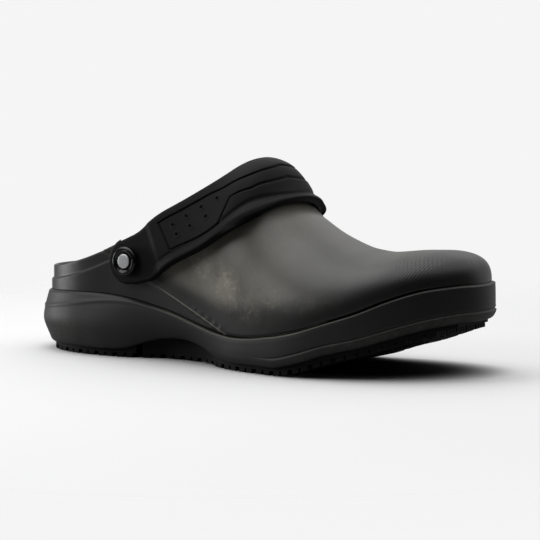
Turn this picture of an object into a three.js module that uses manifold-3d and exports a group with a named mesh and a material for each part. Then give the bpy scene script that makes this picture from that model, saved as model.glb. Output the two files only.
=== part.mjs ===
// A right-foot chef clog: one moulded upper open at the heel collar, a sculpted midsole, two rubber
// treads, a removable insole and a heel strap that is swung forward over the instep on two rivets.
// Millimetres, +Z up, +X towards the toe, -Y the outer (lateral) side of the foot.
import * as THREE from 'three';
import { mergeVertices } from 'three/addons/utils/BufferGeometryUtils.js';
import Module from 'manifold-3d';

const wasm = await Module();
wasm.setup();

// Driving sizes
const LENGTH = 288; // heel curve to toe curve, along the top edge of the midsole
const BALL_WIDTH = 108; // widest place of the midsole
const HEEL_STACK = 36; // midsole and tread together at the heel's side
const TOE_SPRING = 27; // lift of the tread at the toe tip
const ARCH_RISE = 8.5; // how far the waist's lower edge lifts over the tread line
const INSTEP_RISE = 91; // upper above the midsole's edge, at the front of the collar
const COLLAR_BACK = 13; // upper above the midsole's edge, at the back of the heel
const COLLAR_SHARE = 0.535; // front of the collar, as a share of the length
const WALL = 3.6; // wall of the moulded upper
const BAND_HEIGHT = 6.8; // thinner band under the collar's rim
const BAND_STEP = 1.2; // how far that band is set back
const VAMP_STEP = 1.2; // how far the vamp stands over the heel quarter
const EDGE_PROUD = 1.7; // midsole's edge beyond the upper, at the side
const TOE_PROUD = 3.2; // the same at the toe tip
const HEEL_BULGE = 3.3; // swell of the heel's side
const TREAD = 4.5; // rubber tread with its lugs
const TREAD_PLATE = 2; // rubber under the midsole, without the lugs
const TREAD_INSET = 2.2; // tread's edge in from the midsole's lower edge
const LUG_PITCH = 13; // lug spacing along the foot
const LUG_GAP = 3; // channel between two lugs
const LUG_COLUMNS = 5; // lugs across the foot
const INSOLE = 4; // thickness of the insole
const INSOLE_CLEARANCE = 0.6; // insole's edge to the wall
const FOOTBED_DEPTH = 12; // footbed below the midsole's edge at the heel
const SEAT = 0.3; // gap between two pieces that meet
const STRAP = 4; // strap's thickness
const STRAP_LIP = 2.2; // how far the strap's rolled lower edge stands over its face
const STRAP_END = 13; // radius of the strap's round end
const PANEL_DEPTH = 0.7; // sunk panel in the strap's face
const POST = 3; // radius of the rivet's post
const POST_CLEARANCE = 0.3; // post to its holes
const RIVET = 8.3; // radius of the rivet's head
const RIVET_HEAD = 2.6; // height of the rivet's head
const RIVET_BACK = 6.5; // radius of the rivet's inner button
const RIVET_BACK_THICK = 1.4; // thickness of that button
const BADGE = 4.1; // radius of the plain metal disc in the rivet's head
const BADGE_THICK = 0.7; // thickness of the disc

// Plan of the midsole's edge: half width and sideways shift, as shares of BALL_WIDTH
const PLAN = [
  { share: 0, half: 0, shift: 0 },
  { share: 0.04, half: 0.24, shift: 0 },
  { share: 0.13, half: 0.348, shift: 0 },
  { share: 0.25, half: 0.357, shift: -0.005 },
  { share: 0.38, half: 0.36, shift: -0.018 },
  { share: 0.5, half: 0.4, shift: -0.018 },
  { share: 0.6, half: 0.463, shift: -0.008 },
  { share: 0.7, half: 0.5, shift: 0.005 },
  { share: 0.8, half: 0.473, shift: 0.028 },
  { share: 0.9, half: 0.383, shift: 0.053 },
  { share: 0.96, half: 0.262, shift: 0.07 },
  { share: 1, half: 0, shift: 0.08 },
];

// Side view of the sole: lift of the tread (of TOE_SPRING), rise of the waist (of ARCH_RISE),
// height of the edge over the tread (of HEEL_STACK), depth of the footbed (of FOOTBED_DEPTH)
const SIDE = [
  { share: 0, lift: 0.02, arch: 0, wall: 0.96, depth: 0.95 },
  { share: 0.06, lift: 0, arch: 0, wall: 0.99, depth: 0.98 },
  { share: 0.135, lift: 0, arch: 0, wall: 1.02, depth: 1.02 },
  { share: 0.215, lift: 0, arch: 0, wall: 1.02, depth: 1.02 },
  { share: 0.26, lift: 0, arch: 0.12, wall: 0.995, depth: 0.97 },
  { share: 0.3, lift: 0, arch: 0.55, wall: 0.955, depth: 0.9 },
  { share: 0.345, lift: 0, arch: 0.9, wall: 0.885, depth: 0.8 },
  { share: 0.4, lift: 0, arch: 1, wall: 0.79, depth: 0.68 },
  { share: 0.456, lift: 0, arch: 0.62, wall: 0.665, depth: 0.55 },
  { share: 0.505, lift: 0, arch: 0.12, wall: 0.57, depth: 0.5 },
  { share: 0.54, lift: 0, arch: 0, wall: 0.535, depth: 0.5 },
  { share: 0.6, lift: 0, arch: 0, wall: 0.547, depth: 0.55 },
  { share: 0.657, lift: 0, arch: 0, wall: 0.61, depth: 0.68 },
  { share: 0.71, lift: 0.11, arch: 0.08, wall: 0.618, depth: 0.76 },
  { share: 0.76, lift: 0.29, arch: 0.06, wall: 0.615, depth: 0.84 },
  { share: 0.83, lift: 0.5, arch: 0, wall: 0.65, depth: 0.98 },
  { share: 0.88, lift: 0.68, arch: 0, wall: 0.693, depth: 1.1 },
  { share: 0.93, lift: 0.855, arch: 0, wall: 0.71, depth: 1.18 },
  { share: 0.97, lift: 0.965, arch: 0, wall: 0.69, depth: 1.2 },
  { share: 1, lift: 1, arch: 0, wall: 0.667, depth: 1.2 },
];

// Closed form of the upper: height of its ridge over the midsole's edge (of INSTEP_RISE), squareness
// of its section, and height of the collar's line over that edge (of INSTEP_RISE). Behind the
// collar's front the ridge is only the last's, and the collar cuts it away.
const FORM = [
  { share: 0, ridge: 0.909, square: 2.7 },
  { share: 0.2, ridge: 0.899, square: 2.7 },
  { share: 0.35, ridge: 0.952, square: 2.6 },
  { share: 0.45, ridge: 0.967, square: 2.5 },
  { share: 0.5, ridge: 0.982, square: 2.5 },
  { share: COLLAR_SHARE, ridge: 1, square: 2.45 },
  { share: 0.556, ridge: 0.962, square: 2.3 },
  { share: 0.575, ridge: 0.836, square: 2.3 },
  { share: 0.6, ridge: 0.737, square: 2.3 },
  { share: 0.62, ridge: 0.693, square: 2.25 },
  { share: 0.64, ridge: 0.641, square: 2.2 },
  { share: 0.667, ridge: 0.579, square: 2.15 },
  { share: 0.7, ridge: 0.505, square: 2.2 },
  { share: 0.74, ridge: 0.423, square: 2.2 },
  { share: 0.786, ridge: 0.352, square: 2.25 },
  { share: 0.84, ridge: 0.298, square: 2.3 },
  { share: 0.9, ridge: 0.23, square: 2.35 },
  { share: 0.94, ridge: 0.188, square: 2.4 },
  { share: 0.965, ridge: 0.16, square: 2.4 },
  { share: 0.985, ridge: 0.121, square: 2.4 },
  { share: 1, ridge: 0, square: 2.4 },
];

// Collar's line in side view, from the heel's back (0) to the collar's front (1), as the share of the
// climb from COLLAR_BACK over the heel's edge to the ridge at the front
const COLLAR = [
  { share: 0, climb: 0 },
  { share: 0.095, climb: 0.012 },
  { share: 0.19, climb: 0.05 },
  { share: 0.295, climb: 0.115 },
  { share: 0.39, climb: 0.2 },
  { share: 0.485, climb: 0.3 },
  { share: 0.58, climb: 0.41 },
  { share: 0.675, climb: 0.525 },
  { share: 0.77, climb: 0.642 },
  { share: 0.86, climb: 0.76 },
  { share: 0.925, climb: 0.862 },
  { share: 0.965, climb: 0.93 },
  { share: 1, climb: 1 },
];

// Side of the midsole, from its lower edge (0) to its top edge (1): how far it stands out at the
// heel (of HEEL_BULGE), and at the waist, ball and toe (of EDGE_PROUD)
const SIDEWALL = [
  { level: 0, heel: -0.45, waist: -5, ball: -0.9, toe: -0.9 },
  { level: 0.17, heel: 0.2, waist: -3.6, ball: 0, toe: 0.2 },
  { level: 0.42, heel: 1, waist: -1.9, ball: 0.35, toe: 0.25 },
  { level: 0.7, heel: 0.7, waist: -0.4, ball: 0.35, toe: 0.2 },
  { level: 0.9, heel: 0.2, waist: 0.2, ball: 0.2, toe: 0.1 },
  { level: 0.97, heel: 0, waist: 0, ball: 0, toe: 0 },
  { level: 1, heel: -0.2, waist: -0.4, ball: -0.4, toe: -0.4 },
];

// The strap from the rivet (0) to the top of the instep (1): place of its upper and lower edge, as a
// share of LENGTH and as an angle round the section, and the upper and lower line of its sunk panel,
// as shares of the way across it
const STRAP_PATH = [
  { along: 0, upper: 0.268, upperTurn: 15.5, lower: 0.31, lowerTurn: 3.2, groove: 0.16, panel: 0.75 },
  { along: 0.1, upper: 0.312, upperTurn: 20.7, lower: 0.352, lowerTurn: 6, groove: 0.16, panel: 0.75 },
  { along: 0.17, upper: 0.333, upperTurn: 25, lower: 0.376, lowerTurn: 9.2, groove: 0.16, panel: 0.75 },
  { along: 0.25, upper: 0.357, upperTurn: 30.3, lower: 0.405, lowerTurn: 13.6, groove: 0.16, panel: 0.75 },
  { along: 0.4, upper: 0.392, upperTurn: 36.8, lower: 0.455, lowerTurn: 20.4, groove: 0.16, panel: 0.76 },
  { along: 0.52, upper: 0.426, upperTurn: 44.3, lower: 0.5, lowerTurn: 26.5, groove: 0.16, panel: 0.77 },
  { along: 0.58, upper: 0.444, upperTurn: 49, lower: 0.525, lowerTurn: 30.8, groove: 0.17, panel: 0.77 },
  { along: 0.65, upper: 0.463, upperTurn: 54, lower: 0.546, lowerTurn: 36.3, groove: 0.2, panel: 0.68 },
  { along: 0.72, upper: 0.482, upperTurn: 60.3, lower: 0.561, lowerTurn: 44.5, groove: 0.3, panel: 0.58 },
  { along: 0.82, upper: 0.503, upperTurn: 69, lower: 0.574, lowerTurn: 58, groove: 0.42, panel: 0.65 },
  { along: 0.91, upper: 0.518, upperTurn: 78.5, lower: 0.583, lowerTurn: 73, groove: 0.42, panel: 0.61 },
  { along: 1, upper: 0.526, upperTurn: 90, lower: 0.589, lowerTurn: 90, groove: 0.37, panel: 0.55 },
];

const UPPER_COLOUR = 0x2a2a29;
const SOLE_COLOUR = 0x242425;
const TREAD_COLOUR = 0x161617;

const clamp = (value, low, high) => Math.min(high, Math.max(low, value));
const mix = (a, b, t) => a + (b - a) * t;
const radians = (degrees) => (degrees * Math.PI) / 180;

function ease(low, high, value) {
  const t = clamp((value - low) / (high - low), 0, 1);
  return t * t * (3 - 2 * t);
}

// A smooth curve through places and values: cubic pieces with the neighbours' mean slope
function smoothCurve(places, values) {
  const last = places.length - 1;
  const slope = (i) => (values[i + 1] - values[i]) / (places[i + 1] - places[i]);
  const slopes = places.map((place, i) => {
    if (i === 0) return slope(0);
    if (i === last) return slope(last - 1);
    const before = place - places[i - 1];
    const after = places[i + 1] - place;
    return (slope(i - 1) * after + slope(i) * before) / (before + after);
  });
  return (place) => {
    let i = 0;
    while (i < last - 1 && place > places[i + 1]) i += 1;
    const width = places[i + 1] - places[i];
    const t = (place - places[i]) / width;
    const u = 1 - t;
    const ends = values[i] * u * u * (1 + 2 * t) + values[i + 1] * t * t * (3 - 2 * t);
    return ends + width * t * u * (slopes[i] * u - slopes[i + 1] * t);
  };
}

// Travel runs 0 to 1 along the foot and slows at heel and toe, so that both ends come out round
const shareAt = (travel) => (1 - Math.cos(Math.PI * clamp(travel, 0, 1))) / 2;
const travelAt = (share) => Math.acos(1 - 2 * clamp(share, 0, 1)) / Math.PI;

function footCurve(table, column) {
  const curve = smoothCurve(table.map((row) => travelAt(row.share)), table.map((row) => row[column]));
  return (travel) => curve(clamp(travel, 0, 1));
}

const planHalf = footCurve(PLAN, 'half');
const planShift = footCurve(PLAN, 'shift');
const lift = footCurve(SIDE, 'lift');
const arch = footCurve(SIDE, 'arch');
const wall = footCurve(SIDE, 'wall');
const depth = footCurve(SIDE, 'depth');
const ridge = footCurve(FORM, 'ridge');
const square = footCurve(FORM, 'square');
const climb = smoothCurve(COLLAR.map((row) => row.share), COLLAR.map((row) => row.climb));

const treadHeight = (travel) => TOE_SPRING * Math.max(0, lift(travel));
const lowerEdge = (travel) => treadHeight(travel) + TREAD + ARCH_RISE * arch(travel);
const topEdge = (travel) => treadHeight(travel) + HEEL_STACK * wall(travel);
const footbed = (travel) => topEdge(travel) - FOOTBED_DEPTH * depth(travel);

const COLLAR_TRAVEL = travelAt(COLLAR_SHARE);
const collarStart = topEdge(0) + SEAT + COLLAR_BACK;
const collarEnd = topEdge(COLLAR_TRAVEL) + SEAT + INSTEP_RISE;
const collarHeight = (travel) => {
  const share = clamp(shareAt(travel) / COLLAR_SHARE, 0, 1);
  return mix(collarStart, collarEnd, climb(share));
};

// Section of the upper's closed form at one travel
function section(travel) {
  const share = shareAt(travel);
  return {
    x: mix(EDGE_PROUD, LENGTH - TOE_PROUD, share),
    middle: BALL_WIDTH * planShift(travel),
    half: (BALL_WIDTH / 2 - EDGE_PROUD) * 2 * planHalf(travel),
    base: topEdge(travel) + SEAT,
    rise: INSTEP_RISE * ridge(travel),
    power: 2 / square(travel),
  };
}

// Point of that form: turn 0 is the outer side's edge, 90 degrees the ridge, 180 the inner side's edge
function form(travel, turn) {
  const s = section(travel);
  const across = Math.cos(turn);
  const up = Math.max(0, Math.sin(turn));
  const y = s.middle - s.half * Math.sign(across) * Math.abs(across) ** s.power;
  return new THREE.Vector3(s.x, y, s.base + s.rise * up ** s.power);
}

const NEAR = 2e-3;
function formNormal(travel, turn) {
  const a = clamp(travel, 2 * NEAR, 1 - 2 * NEAR);
  const b = clamp(turn, 2 * NEAR, Math.PI - 2 * NEAR);
  const forward = form(a + NEAR, b).sub(form(a - NEAR, b));
  const round = form(a, b + NEAR).sub(form(a, b - NEAR));
  const normal = forward.cross(round).normalize();
  if (travel < NEAR) normal.set(-1, 0, 0);
  if (travel > 1 - NEAR) normal.set(1, 0, 0);
  return normal;
}

function skin(travel, turn, offset) {
  return form(travel, turn).addScaledVector(formNormal(travel, turn), offset);
}

// Turn at which the form reaches a height, on the outer side
function turnAtHeight(travel, height) {
  const s = section(travel);
  const share = clamp((height - s.base) / s.rise, 0, 1);
  return Math.asin(share ** (1 / s.power));
}

// The vamp stands over the quarter in front of a slanting line, given by two points in side view
const STEP_TOP = new THREE.Vector2(0.318 * LENGTH, 0.13 * INSTEP_RISE);
const STEP_FOOT = new THREE.Vector2(0.425 * LENGTH, -0.02 * INSTEP_RISE);
const STEP_WIDTH = 1.6;
function vampRelief(travel, turn) {
  const p = form(travel, turn);
  const line = STEP_FOOT.clone().sub(STEP_TOP).normalize();
  const from = new THREE.Vector2(p.x, p.z - collarStart + COLLAR_BACK).sub(STEP_TOP);
  const ahead = -(from.x * line.y - from.y * line.x);
  return VAMP_STEP * ease(-STEP_WIDTH / 2, STEP_WIDTH / 2, ahead);
}

// One closed body from a list of points and triangles. Triangles that have collapsed are dropped, and
// the rest are turned round where the list runs inside out.
function solidFrom(points, faces) {
  const raw = new THREE.BufferGeometry();
  raw.setAttribute('position', new THREE.Float32BufferAttribute(points.flatMap((p) => [p.x, p.y, p.z]), 3));
  raw.setIndex(faces.flat());
  const merged = mergeVertices(raw, 2e-3);
  const index = merged.index.array;
  const kept = [];
  for (let i = 0; i < index.length; i += 3) {
    const [a, b, c] = [index[i], index[i + 1], index[i + 2]];
    if (a !== b && b !== c && c !== a) kept.push(a, b, c);
  }
  const build = (corners) => new wasm.Manifold(new wasm.Mesh({
    numProp: 3,
    vertProperties: new Float32Array(merged.attributes.position.array),
    triVerts: new Uint32Array(corners),
  }));
  const solid = build(kept);
  return solid.volume() > 0 ? solid : build([...kept].reverse());
}

function solidOf(geometry) {
  geometry.deleteAttribute('normal');
  geometry.deleteAttribute('uv');
  const merged = mergeVertices(geometry, 1e-4);
  const corner = (i) => new THREE.Vector3().fromBufferAttribute(merged.attributes.position, i);
  const points = Array.from({ length: merged.attributes.position.count }, (_, i) => corner(i));
  const faces = [];
  for (let i = 0; i < merged.index.count; i += 3) faces.push([0, 1, 2].map((k) => merged.index.array[i + k]));
  return solidFrom(points, faces);
}

function meshOf(name, solid, colour, roughness, metalness = 0) {
  const { vertProperties, triVerts } = solid.getMesh();
  const geometry = new THREE.BufferGeometry();
  geometry.setAttribute('position', new THREE.BufferAttribute(new Float32Array(vertProperties), 3));
  geometry.setIndex(new THREE.BufferAttribute(new Uint32Array(triVerts), 1));
  geometry.computeVertexNormals();
  const mesh = new THREE.Mesh(geometry, new THREE.MeshStandardMaterial({ color: colour, roughness, metalness }));
  mesh.name = name;
  return mesh;
}

// Two triangles for each square between rings of points; a ring closes on itself
function ringFaces(ringCount, ringSize) {
  const faces = [];
  for (let i = 0; i + 1 < ringCount; i += 1) {
    for (let j = 0; j < ringSize; j += 1) {
      const next = (j + 1) % ringSize;
      const [a, b] = [i * ringSize + j, i * ringSize + next];
      const [c, d] = [a + ringSize, b + ringSize];
      faces.push([a, b, d], [a, d, c]);
    }
  }
  return faces;
}

const loft = (rings) => solidFrom(rings.flat(), ringFaces(rings.length, rings[0].length));

// Evenly spaced turns along the section's length, from the edge to a last turn
function evenTurns(travel, lastTurn, steps) {
  const fine = 60;
  const turns = Array.from({ length: fine + 1 }, (_, i) => (lastTurn * i) / fine);
  const points = turns.map((turn) => form(travel, turn));
  const lengths = [0];
  for (let i = 1; i <= fine; i += 1) lengths.push(lengths[i - 1] + points[i].distanceTo(points[i - 1]));
  return Array.from({ length: steps + 1 }, (_, k) => {
    const wanted = (lengths[fine] * k) / steps;
    let i = 0;
    while (i < fine - 1 && lengths[i + 1] < wanted) i += 1;
    const part = (wanted - lengths[i]) / Math.max(lengths[i + 1] - lengths[i], 1e-9);
    return mix(turns[i], turns[i + 1], part);
  });
}

// The upper: each half is a strip of stations from the heel's back to the toe. Behind the collar's
// front a station ends at the collar, in front of it at the ridge, where both halves meet.
const REAR_STATIONS = 18;
const FRONT_STATIONS = 19;
const SKIN_STEPS = 8;
const upperTravels = [
  ...Array.from({ length: REAR_STATIONS }, (_, i) => travelAt(COLLAR_SHARE * shareAt(i / REAR_STATIONS))),
  ...Array.from({ length: FRONT_STATIONS + 1 }, (_, i) =>
    mix(COLLAR_TRAVEL, 1, Math.sin((Math.PI / 2) * (i / FRONT_STATIONS)))),
];

function upperStation(travel, outward) {
  const open = travel < COLLAR_TRAVEL;
  const last = open ? turnAtHeight(travel, collarHeight(travel)) : Math.PI / 2;
  const side = (turn) => (outward ? turn : Math.PI - turn);
  const bandEdge = open ? turnAtHeight(travel, collarHeight(travel) - BAND_HEIGHT) : last * 0.97;
  const even = evenTurns(travel, bandEdge, SKIN_STEPS);
  const turns = [...even.slice(0, -1), bandEdge * 0.985, bandEdge, last];
  const bandShare = open ? 1 - ease(0.62, 0.74, shareAt(travel) / COLLAR_SHARE) : 0;
  const outer = turns.map((turn, j) => {
    const inBand = j >= turns.length - 2;
    return skin(travel, side(turn), vampRelief(travel, turn) - (inBand ? BAND_STEP * bandShare : 0));
  });
  const inner = turns.map((turn) => skin(travel, side(turn), -WALL));
  return { outer, inner };
}

// The rounded rim's crest stands a little over the wall's two edges, away from the skin below it
const RIM_ROUND = 0.3;
function rimCrest(station) {
  const last = station.outer.length - 1;
  const away = station.outer[last].clone().sub(station.outer[last - 1]).normalize();
  const middle = station.outer[last].clone().lerp(station.inner[last], 0.5);
  return middle.addScaledVector(away, RIM_ROUND * WALL);
}

function makeUpper() {
  const points = [];
  const faces = [];
  const frontCrest = new THREE.Vector3(-RIM_ROUND * WALL, 0, 0);
  for (const outward of [true, false]) {
    const rings = upperTravels.map((travel) => upperStation(travel, outward));
    const start = points.length;
    const skinCount = rings[0].outer.length;
    const size = 2 * skinCount + 1;
    rings.forEach((ring, i) => {
      const last = skinCount - 1;
      let crest = rimCrest(ring);
      if (i >= REAR_STATIONS) crest = ring.outer[last].clone().lerp(ring.inner[last], 0.5).add(frontCrest);
      points.push(...ring.outer, crest, ...[...ring.inner].reverse());
    });
    for (let i = 0; i + 1 < rings.length; i += 1) {
      for (let j = 0; j < size; j += 1) {
        const onRim = j === skinCount - 1 || j === skinCount;
        if (onRim && i >= REAR_STATIONS) continue;
        const next = (j + 1) % size;
        const [a, b] = [start + i * size + j, start + i * size + next];
        const [c, d] = [a + size, b + size];
        const pair = [[a, b, d], [a, d, c]];
        faces.push(...(outward ? pair.map(([p, q, r]) => [p, r, q]) : pair));
      }
    }
  }
  return solidFrom(points, faces);
}

// The midsole: each station is a closed ring, up the outer side, across the footbed and down again
const SOLE_STATIONS = 46;
const soleTravels = Array.from({ length: SOLE_STATIONS + 1 }, (_, i) => i / SOLE_STATIONS);

// Point of the plan's edge, moved outwards by a distance. Its height is a function of the travel at
// the place where it ends up, so that all layers of the sole follow one side view.
function edgePoint(travel, outward, out, heightAt) {
  const at = (place) => {
    const across = BALL_WIDTH * (planShift(place) + (outward ? -1 : 1) * planHalf(place));
    return new THREE.Vector3(LENGTH * shareAt(place), across, 0);
  };
  const a = clamp(travel, NEAR, 1 - NEAR);
  const along = at(a + NEAR).sub(at(a - NEAR)).normalize();
  const normal = new THREE.Vector3(along.y, -along.x, 0).multiplyScalar(outward ? 1 : -1);
  if (travel < NEAR || travel > 1 - NEAR) normal.set(travel < NEAR ? -1 : 1, 0, 0);
  const p = at(travel).addScaledVector(normal, out);
  return p.setZ(heightAt(travelAt(p.x / LENGTH)));
}

function sideOut(row, travel) {
  const share = shareAt(travel);
  const toWaist = ease(0.2, 0.36, share);
  const toBall = ease(0.4, 0.56, share);
  const toToe = ease(0.8, 0.95, share);
  const front = mix(mix(row.waist, row.ball, toBall), row.toe, toToe) * EDGE_PROUD;
  return mix(row.heel * HEEL_BULGE, front, toWaist);
}

// Edge of the upper's inner wall, at its foot
function innerFoot(travel, outward, extra, height) {
  const turn = outward ? 0 : Math.PI;
  return skin(travel, turn, -WALL - extra).setZ(height);
}

const FOOTBED_DISH = 1.6; // how much lower the footbed lies in the middle
const DISH_COLUMNS = [0.3, 0.7];

function footbedAcross(travel, extra, rise) {
  const outerSide = innerFoot(travel, true, extra, footbed(travel) + rise);
  const innerSide = innerFoot(travel, false, extra, footbed(travel) + rise);
  const narrow = Math.min(1, outerSide.distanceTo(innerSide) / (BALL_WIDTH * 0.3));
  return DISH_COLUMNS.map((part) =>
    outerSide.clone().lerp(innerSide, part).add(new THREE.Vector3(0, 0, -FOOTBED_DISH * narrow)));
}

function makeMidsole() {
  const rings = soleTravels.map((travel) => {
    const sideOf = (outward) => SIDEWALL.map((row) => {
      const heightAt = (place) => mix(lowerEdge(place), topEdge(place), row.level);
      return edgePoint(travel, outward, sideOut(row, travel), heightAt);
    });
    const rim = (outward) => [
      innerFoot(travel, outward, 0, topEdge(travel)),
      innerFoot(travel, outward, 0, footbed(travel)),
    ];
    return [
      ...sideOf(true),
      ...rim(true),
      ...footbedAcross(travel, 0, 0),
      ...rim(false).reverse(),
      ...sideOf(false).reverse(),
    ];
  });
  return loft(rings.map((ring) => ring.reverse()));
}

// A tread: a plate under the midsole and lugs under the plate, between two shares of the length
// Under the arch it is set further in, and its lugs stay clear of the floor
const TREAD_STATIONS = 24;
const WAIST_TREAD = { inset: 4, lift: 1, from: 0.27, full: 0.34, last: 0.44, to: 0.51 };
const waistPart = (travel) => {
  const share = shareAt(travel);
  const { from, full, last, to } = WAIST_TREAD;
  return ease(from, full, share) * (1 - ease(last, to, share));
};
const lugFoot = (travel) => treadHeight(travel) + WAIST_TREAD.lift * waistPart(travel);
function treadSide(travel, outward, heightAt) {
  const inset = TREAD_INSET + WAIST_TREAD.inset * waistPart(travel);
  return edgePoint(travel, outward, sideOut(SIDEWALL[0], travel) - inset, heightAt);
}

function treadPlate(from, to) {
  const rings = Array.from({ length: TREAD_STATIONS + 1 }, (_, i) => {
    const travel = mix(from, to, i / TREAD_STATIONS);
    const top = (place) => lowerEdge(place) - SEAT;
    const bottom = (place) => treadHeight(place) + TREAD - TREAD_PLATE;
    return [
      treadSide(travel, true, bottom),
      treadSide(travel, false, bottom),
      treadSide(travel, false, top),
      treadSide(travel, true, top),
    ];
  });
  return closedLoft(rings);
}

// A loft with flat fans over its two end rings
function closedLoft(rings) {
  const size = rings[0].length;
  const faces = ringFaces(rings.length, size);
  const lastStart = (rings.length - 1) * size;
  for (let j = 1; j + 1 < size; j += 1) {
    faces.push([0, j + 1, j], [lastStart, lastStart + j, lastStart + j + 1]);
  }
  return solidFrom(rings.flat(), faces);
}

// One lug: a block between two travels and two shares of the width, its foot on the tread line
function lug(from, to, left, right) {
  const corner = (travel, part, heightAt) => {
    const outerSide = treadSide(travel, true, heightAt);
    return outerSide.lerp(treadSide(travel, false, heightAt), part);
  };
  const top = (place) => treadHeight(place) + TREAD - TREAD_PLATE / 2;
  const rings = [from, to].map((travel) => {
    return [
      corner(travel, left, lugFoot),
      corner(travel, right, lugFoot),
      corner(travel, right, top),
      corner(travel, left, top),
    ];
  });
  return closedLoft(rings);
}

function makeTread(fromShare, toShare) {
  let body = treadPlate(travelAt(fromShare), travelAt(toShare));
  const rows = Math.floor(((toShare - fromShare) * LENGTH + LUG_GAP) / LUG_PITCH);
  const gapShare = LUG_GAP / BALL_WIDTH;
  for (let row = 0; row < rows; row += 1) {
    const start = fromShare + (row * LUG_PITCH) / LENGTH;
    const end = start + (LUG_PITCH - LUG_GAP) / LENGTH;
    for (let column = 0; column < LUG_COLUMNS; column += 1) {
      const left = column / LUG_COLUMNS + (column === 0 ? 0 : gapShare / 2);
      const right = (column + 1) / LUG_COLUMNS - (column === LUG_COLUMNS - 1 ? 0 : gapShare / 2);
      body = body.add(lug(travelAt(start), travelAt(end), left, right));
    }
  }
  return body;
}

const HEEL_TREAD = { from: 0.012, to: 0.28 };
const BALL_TREAD = { from: 0.292, to: 0.985 };

// The insole lies in the midsole's cup, a little inside the wall
const INSOLE_STATIONS = 30;
function makeInsole() {
  const rings = Array.from({ length: INSOLE_STATIONS + 1 }, (_, i) => {
    const travel = i / INSOLE_STATIONS;
    const foot = (outward, rise) => innerFoot(travel, outward, INSOLE_CLEARANCE, footbed(travel) + rise);
    return [
      foot(true, SEAT),
      foot(true, SEAT + INSOLE),
      ...footbedAcross(travel, INSOLE_CLEARANCE, SEAT + INSOLE),
      foot(false, SEAT + INSOLE),
      foot(false, SEAT),
      ...footbedAcross(travel, INSOLE_CLEARANCE, SEAT).reverse(),
    ];
  });
  return loft(rings.map((ring) => ring.reverse()));
}

// The strap: rings across the band, from the outer rivet's end over the instep to the inner one's
const strapCurve = (column) => smoothCurve(STRAP_PATH.map((row) => row.along), STRAP_PATH.map((row) => row[column]));
const strapUpper = strapCurve('upper');
const strapUpperTurn = strapCurve('upperTurn');
const strapLower = strapCurve('lower');
const strapLowerTurn = strapCurve('lowerTurn');
const strapGroove = strapCurve('groove');
const strapPanel = strapCurve('panel');

// Place on the form at a share along the half strap and a share across it
function strapPlace(along, across) {
  const a = clamp(along, 0, 1);
  return {
    share: mix(strapUpper(a), strapLower(a), across),
    turn: radians(mix(strapUpperTurn(a), strapLowerTurn(a), across)),
  };
}

const onForm = (place) => form(formTravel(place.share), place.turn);
const formTravel = (share) => travelAt((share * LENGTH - EDGE_PROUD) / (LENGTH - EDGE_PROUD - TOE_PROUD));

// Round end: beyond the rivet the band narrows as a half circle, measured in side view
function strapEndPlace(beyond, across) {
  const centre = onForm(strapPlace(0, 0.5));
  const ahead = onForm(strapPlace(0.1, 0.5)).sub(centre).setY(0).normalize();
  const upwards = new THREE.Vector3(-ahead.z, 0, ahead.x);
  const half = Math.sqrt(Math.max(0, STRAP_END ** 2 - beyond ** 2));
  const p = centre.addScaledVector(ahead, -beyond).addScaledVector(upwards, half * (1 - 2 * across));
  const travel = formTravel(p.x / LENGTH);
  return { share: p.x / LENGTH, turn: turnAtHeight(travel, p.z) };
}

// Section across the strap, as pairs of the share across and the height over the upper's form: the
// outer face with its sunk panel and rolled lower edge, and then the underside
const STRAP_GAP = 0.6; // strap's underside over the vamp
const STRAP_BASE = VAMP_STEP + STRAP_GAP;
const NECK = { thinner: 0.9, from: 0.15, to: 0.19 }; // the strap is thinner round the rivet, up to a shoulder
const PANEL_START = 0.24; // where the panel begins along the half strap
const PANEL_WALL = 0.02; // how much of the way across the panel's slanting walls take
const UNDERSIDE = [0.86, 0.68, 0.5, 0.34, 0.17, 0];
function strapSection(along) {
  const top = strapGroove(along);
  const foot = strapPanel(along);
  const face = STRAP_BASE + STRAP - NECK.thinner * (1 - ease(NECK.from, NECK.to, along));
  const floor = face - (along > PANEL_START ? PANEL_DEPTH : 0);
  const lip = STRAP_LIP * ease(0.1, 0.3, along);
  return [
    [0, mix(STRAP_BASE, face, 0.55)],
    [0.05, face],
    [top, face],
    [top + PANEL_WALL, floor],
    [foot - PANEL_WALL, floor],
    [foot, face],
    [0.85, face],
    [0.93, face + lip],
    [0.985, face + lip - STRAP * 0.2],
    [1, STRAP_BASE + lip * 0.8],
    ...UNDERSIDE.map((across) => [across, STRAP_BASE]),
  ];
}

const STRAP_END_STEPS = 5;
const STRAP_HALF_STEPS = 20;
function makeStrap() {
  const stops = [];
  for (let i = 0; i < STRAP_END_STEPS; i += 1) {
    const beyond = STRAP_END * Math.cos((Math.PI / 2) * (i / STRAP_END_STEPS));
    stops.push({ along: 0, place: (across) => strapEndPlace(beyond, across) });
  }
  for (let i = 0; i <= STRAP_HALF_STEPS; i += 1) {
    const along = i / STRAP_HALF_STEPS;
    stops.push({ along, place: (across) => strapPlace(along, across) });
  }
  const ring = (stop, outward) => strapSection(stop.along).map(([across, height]) => {
    const place = stop.place(across);
    const turn = outward ? place.turn : Math.PI - place.turn;
    return skin(formTravel(place.share), turn, height);
  });
  const outerHalf = stops.map((stop) => ring(stop, true));
  const innerHalf = stops.slice(0, -1).map((stop) => ring(stop, false)).reverse();
  return closedLoft([...outerHalf, ...innerHalf]);
}

// A rivet on one side: its axis is the skin's normal at the strap's end
function rivetFrame(outward) {
  const place = strapPlace(0, 0.5);
  const travel = formTravel(place.share);
  const turn = outward ? place.turn : Math.PI - place.turn;
  return { point: form(travel, turn), normal: formNormal(travel, turn) };
}

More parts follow.
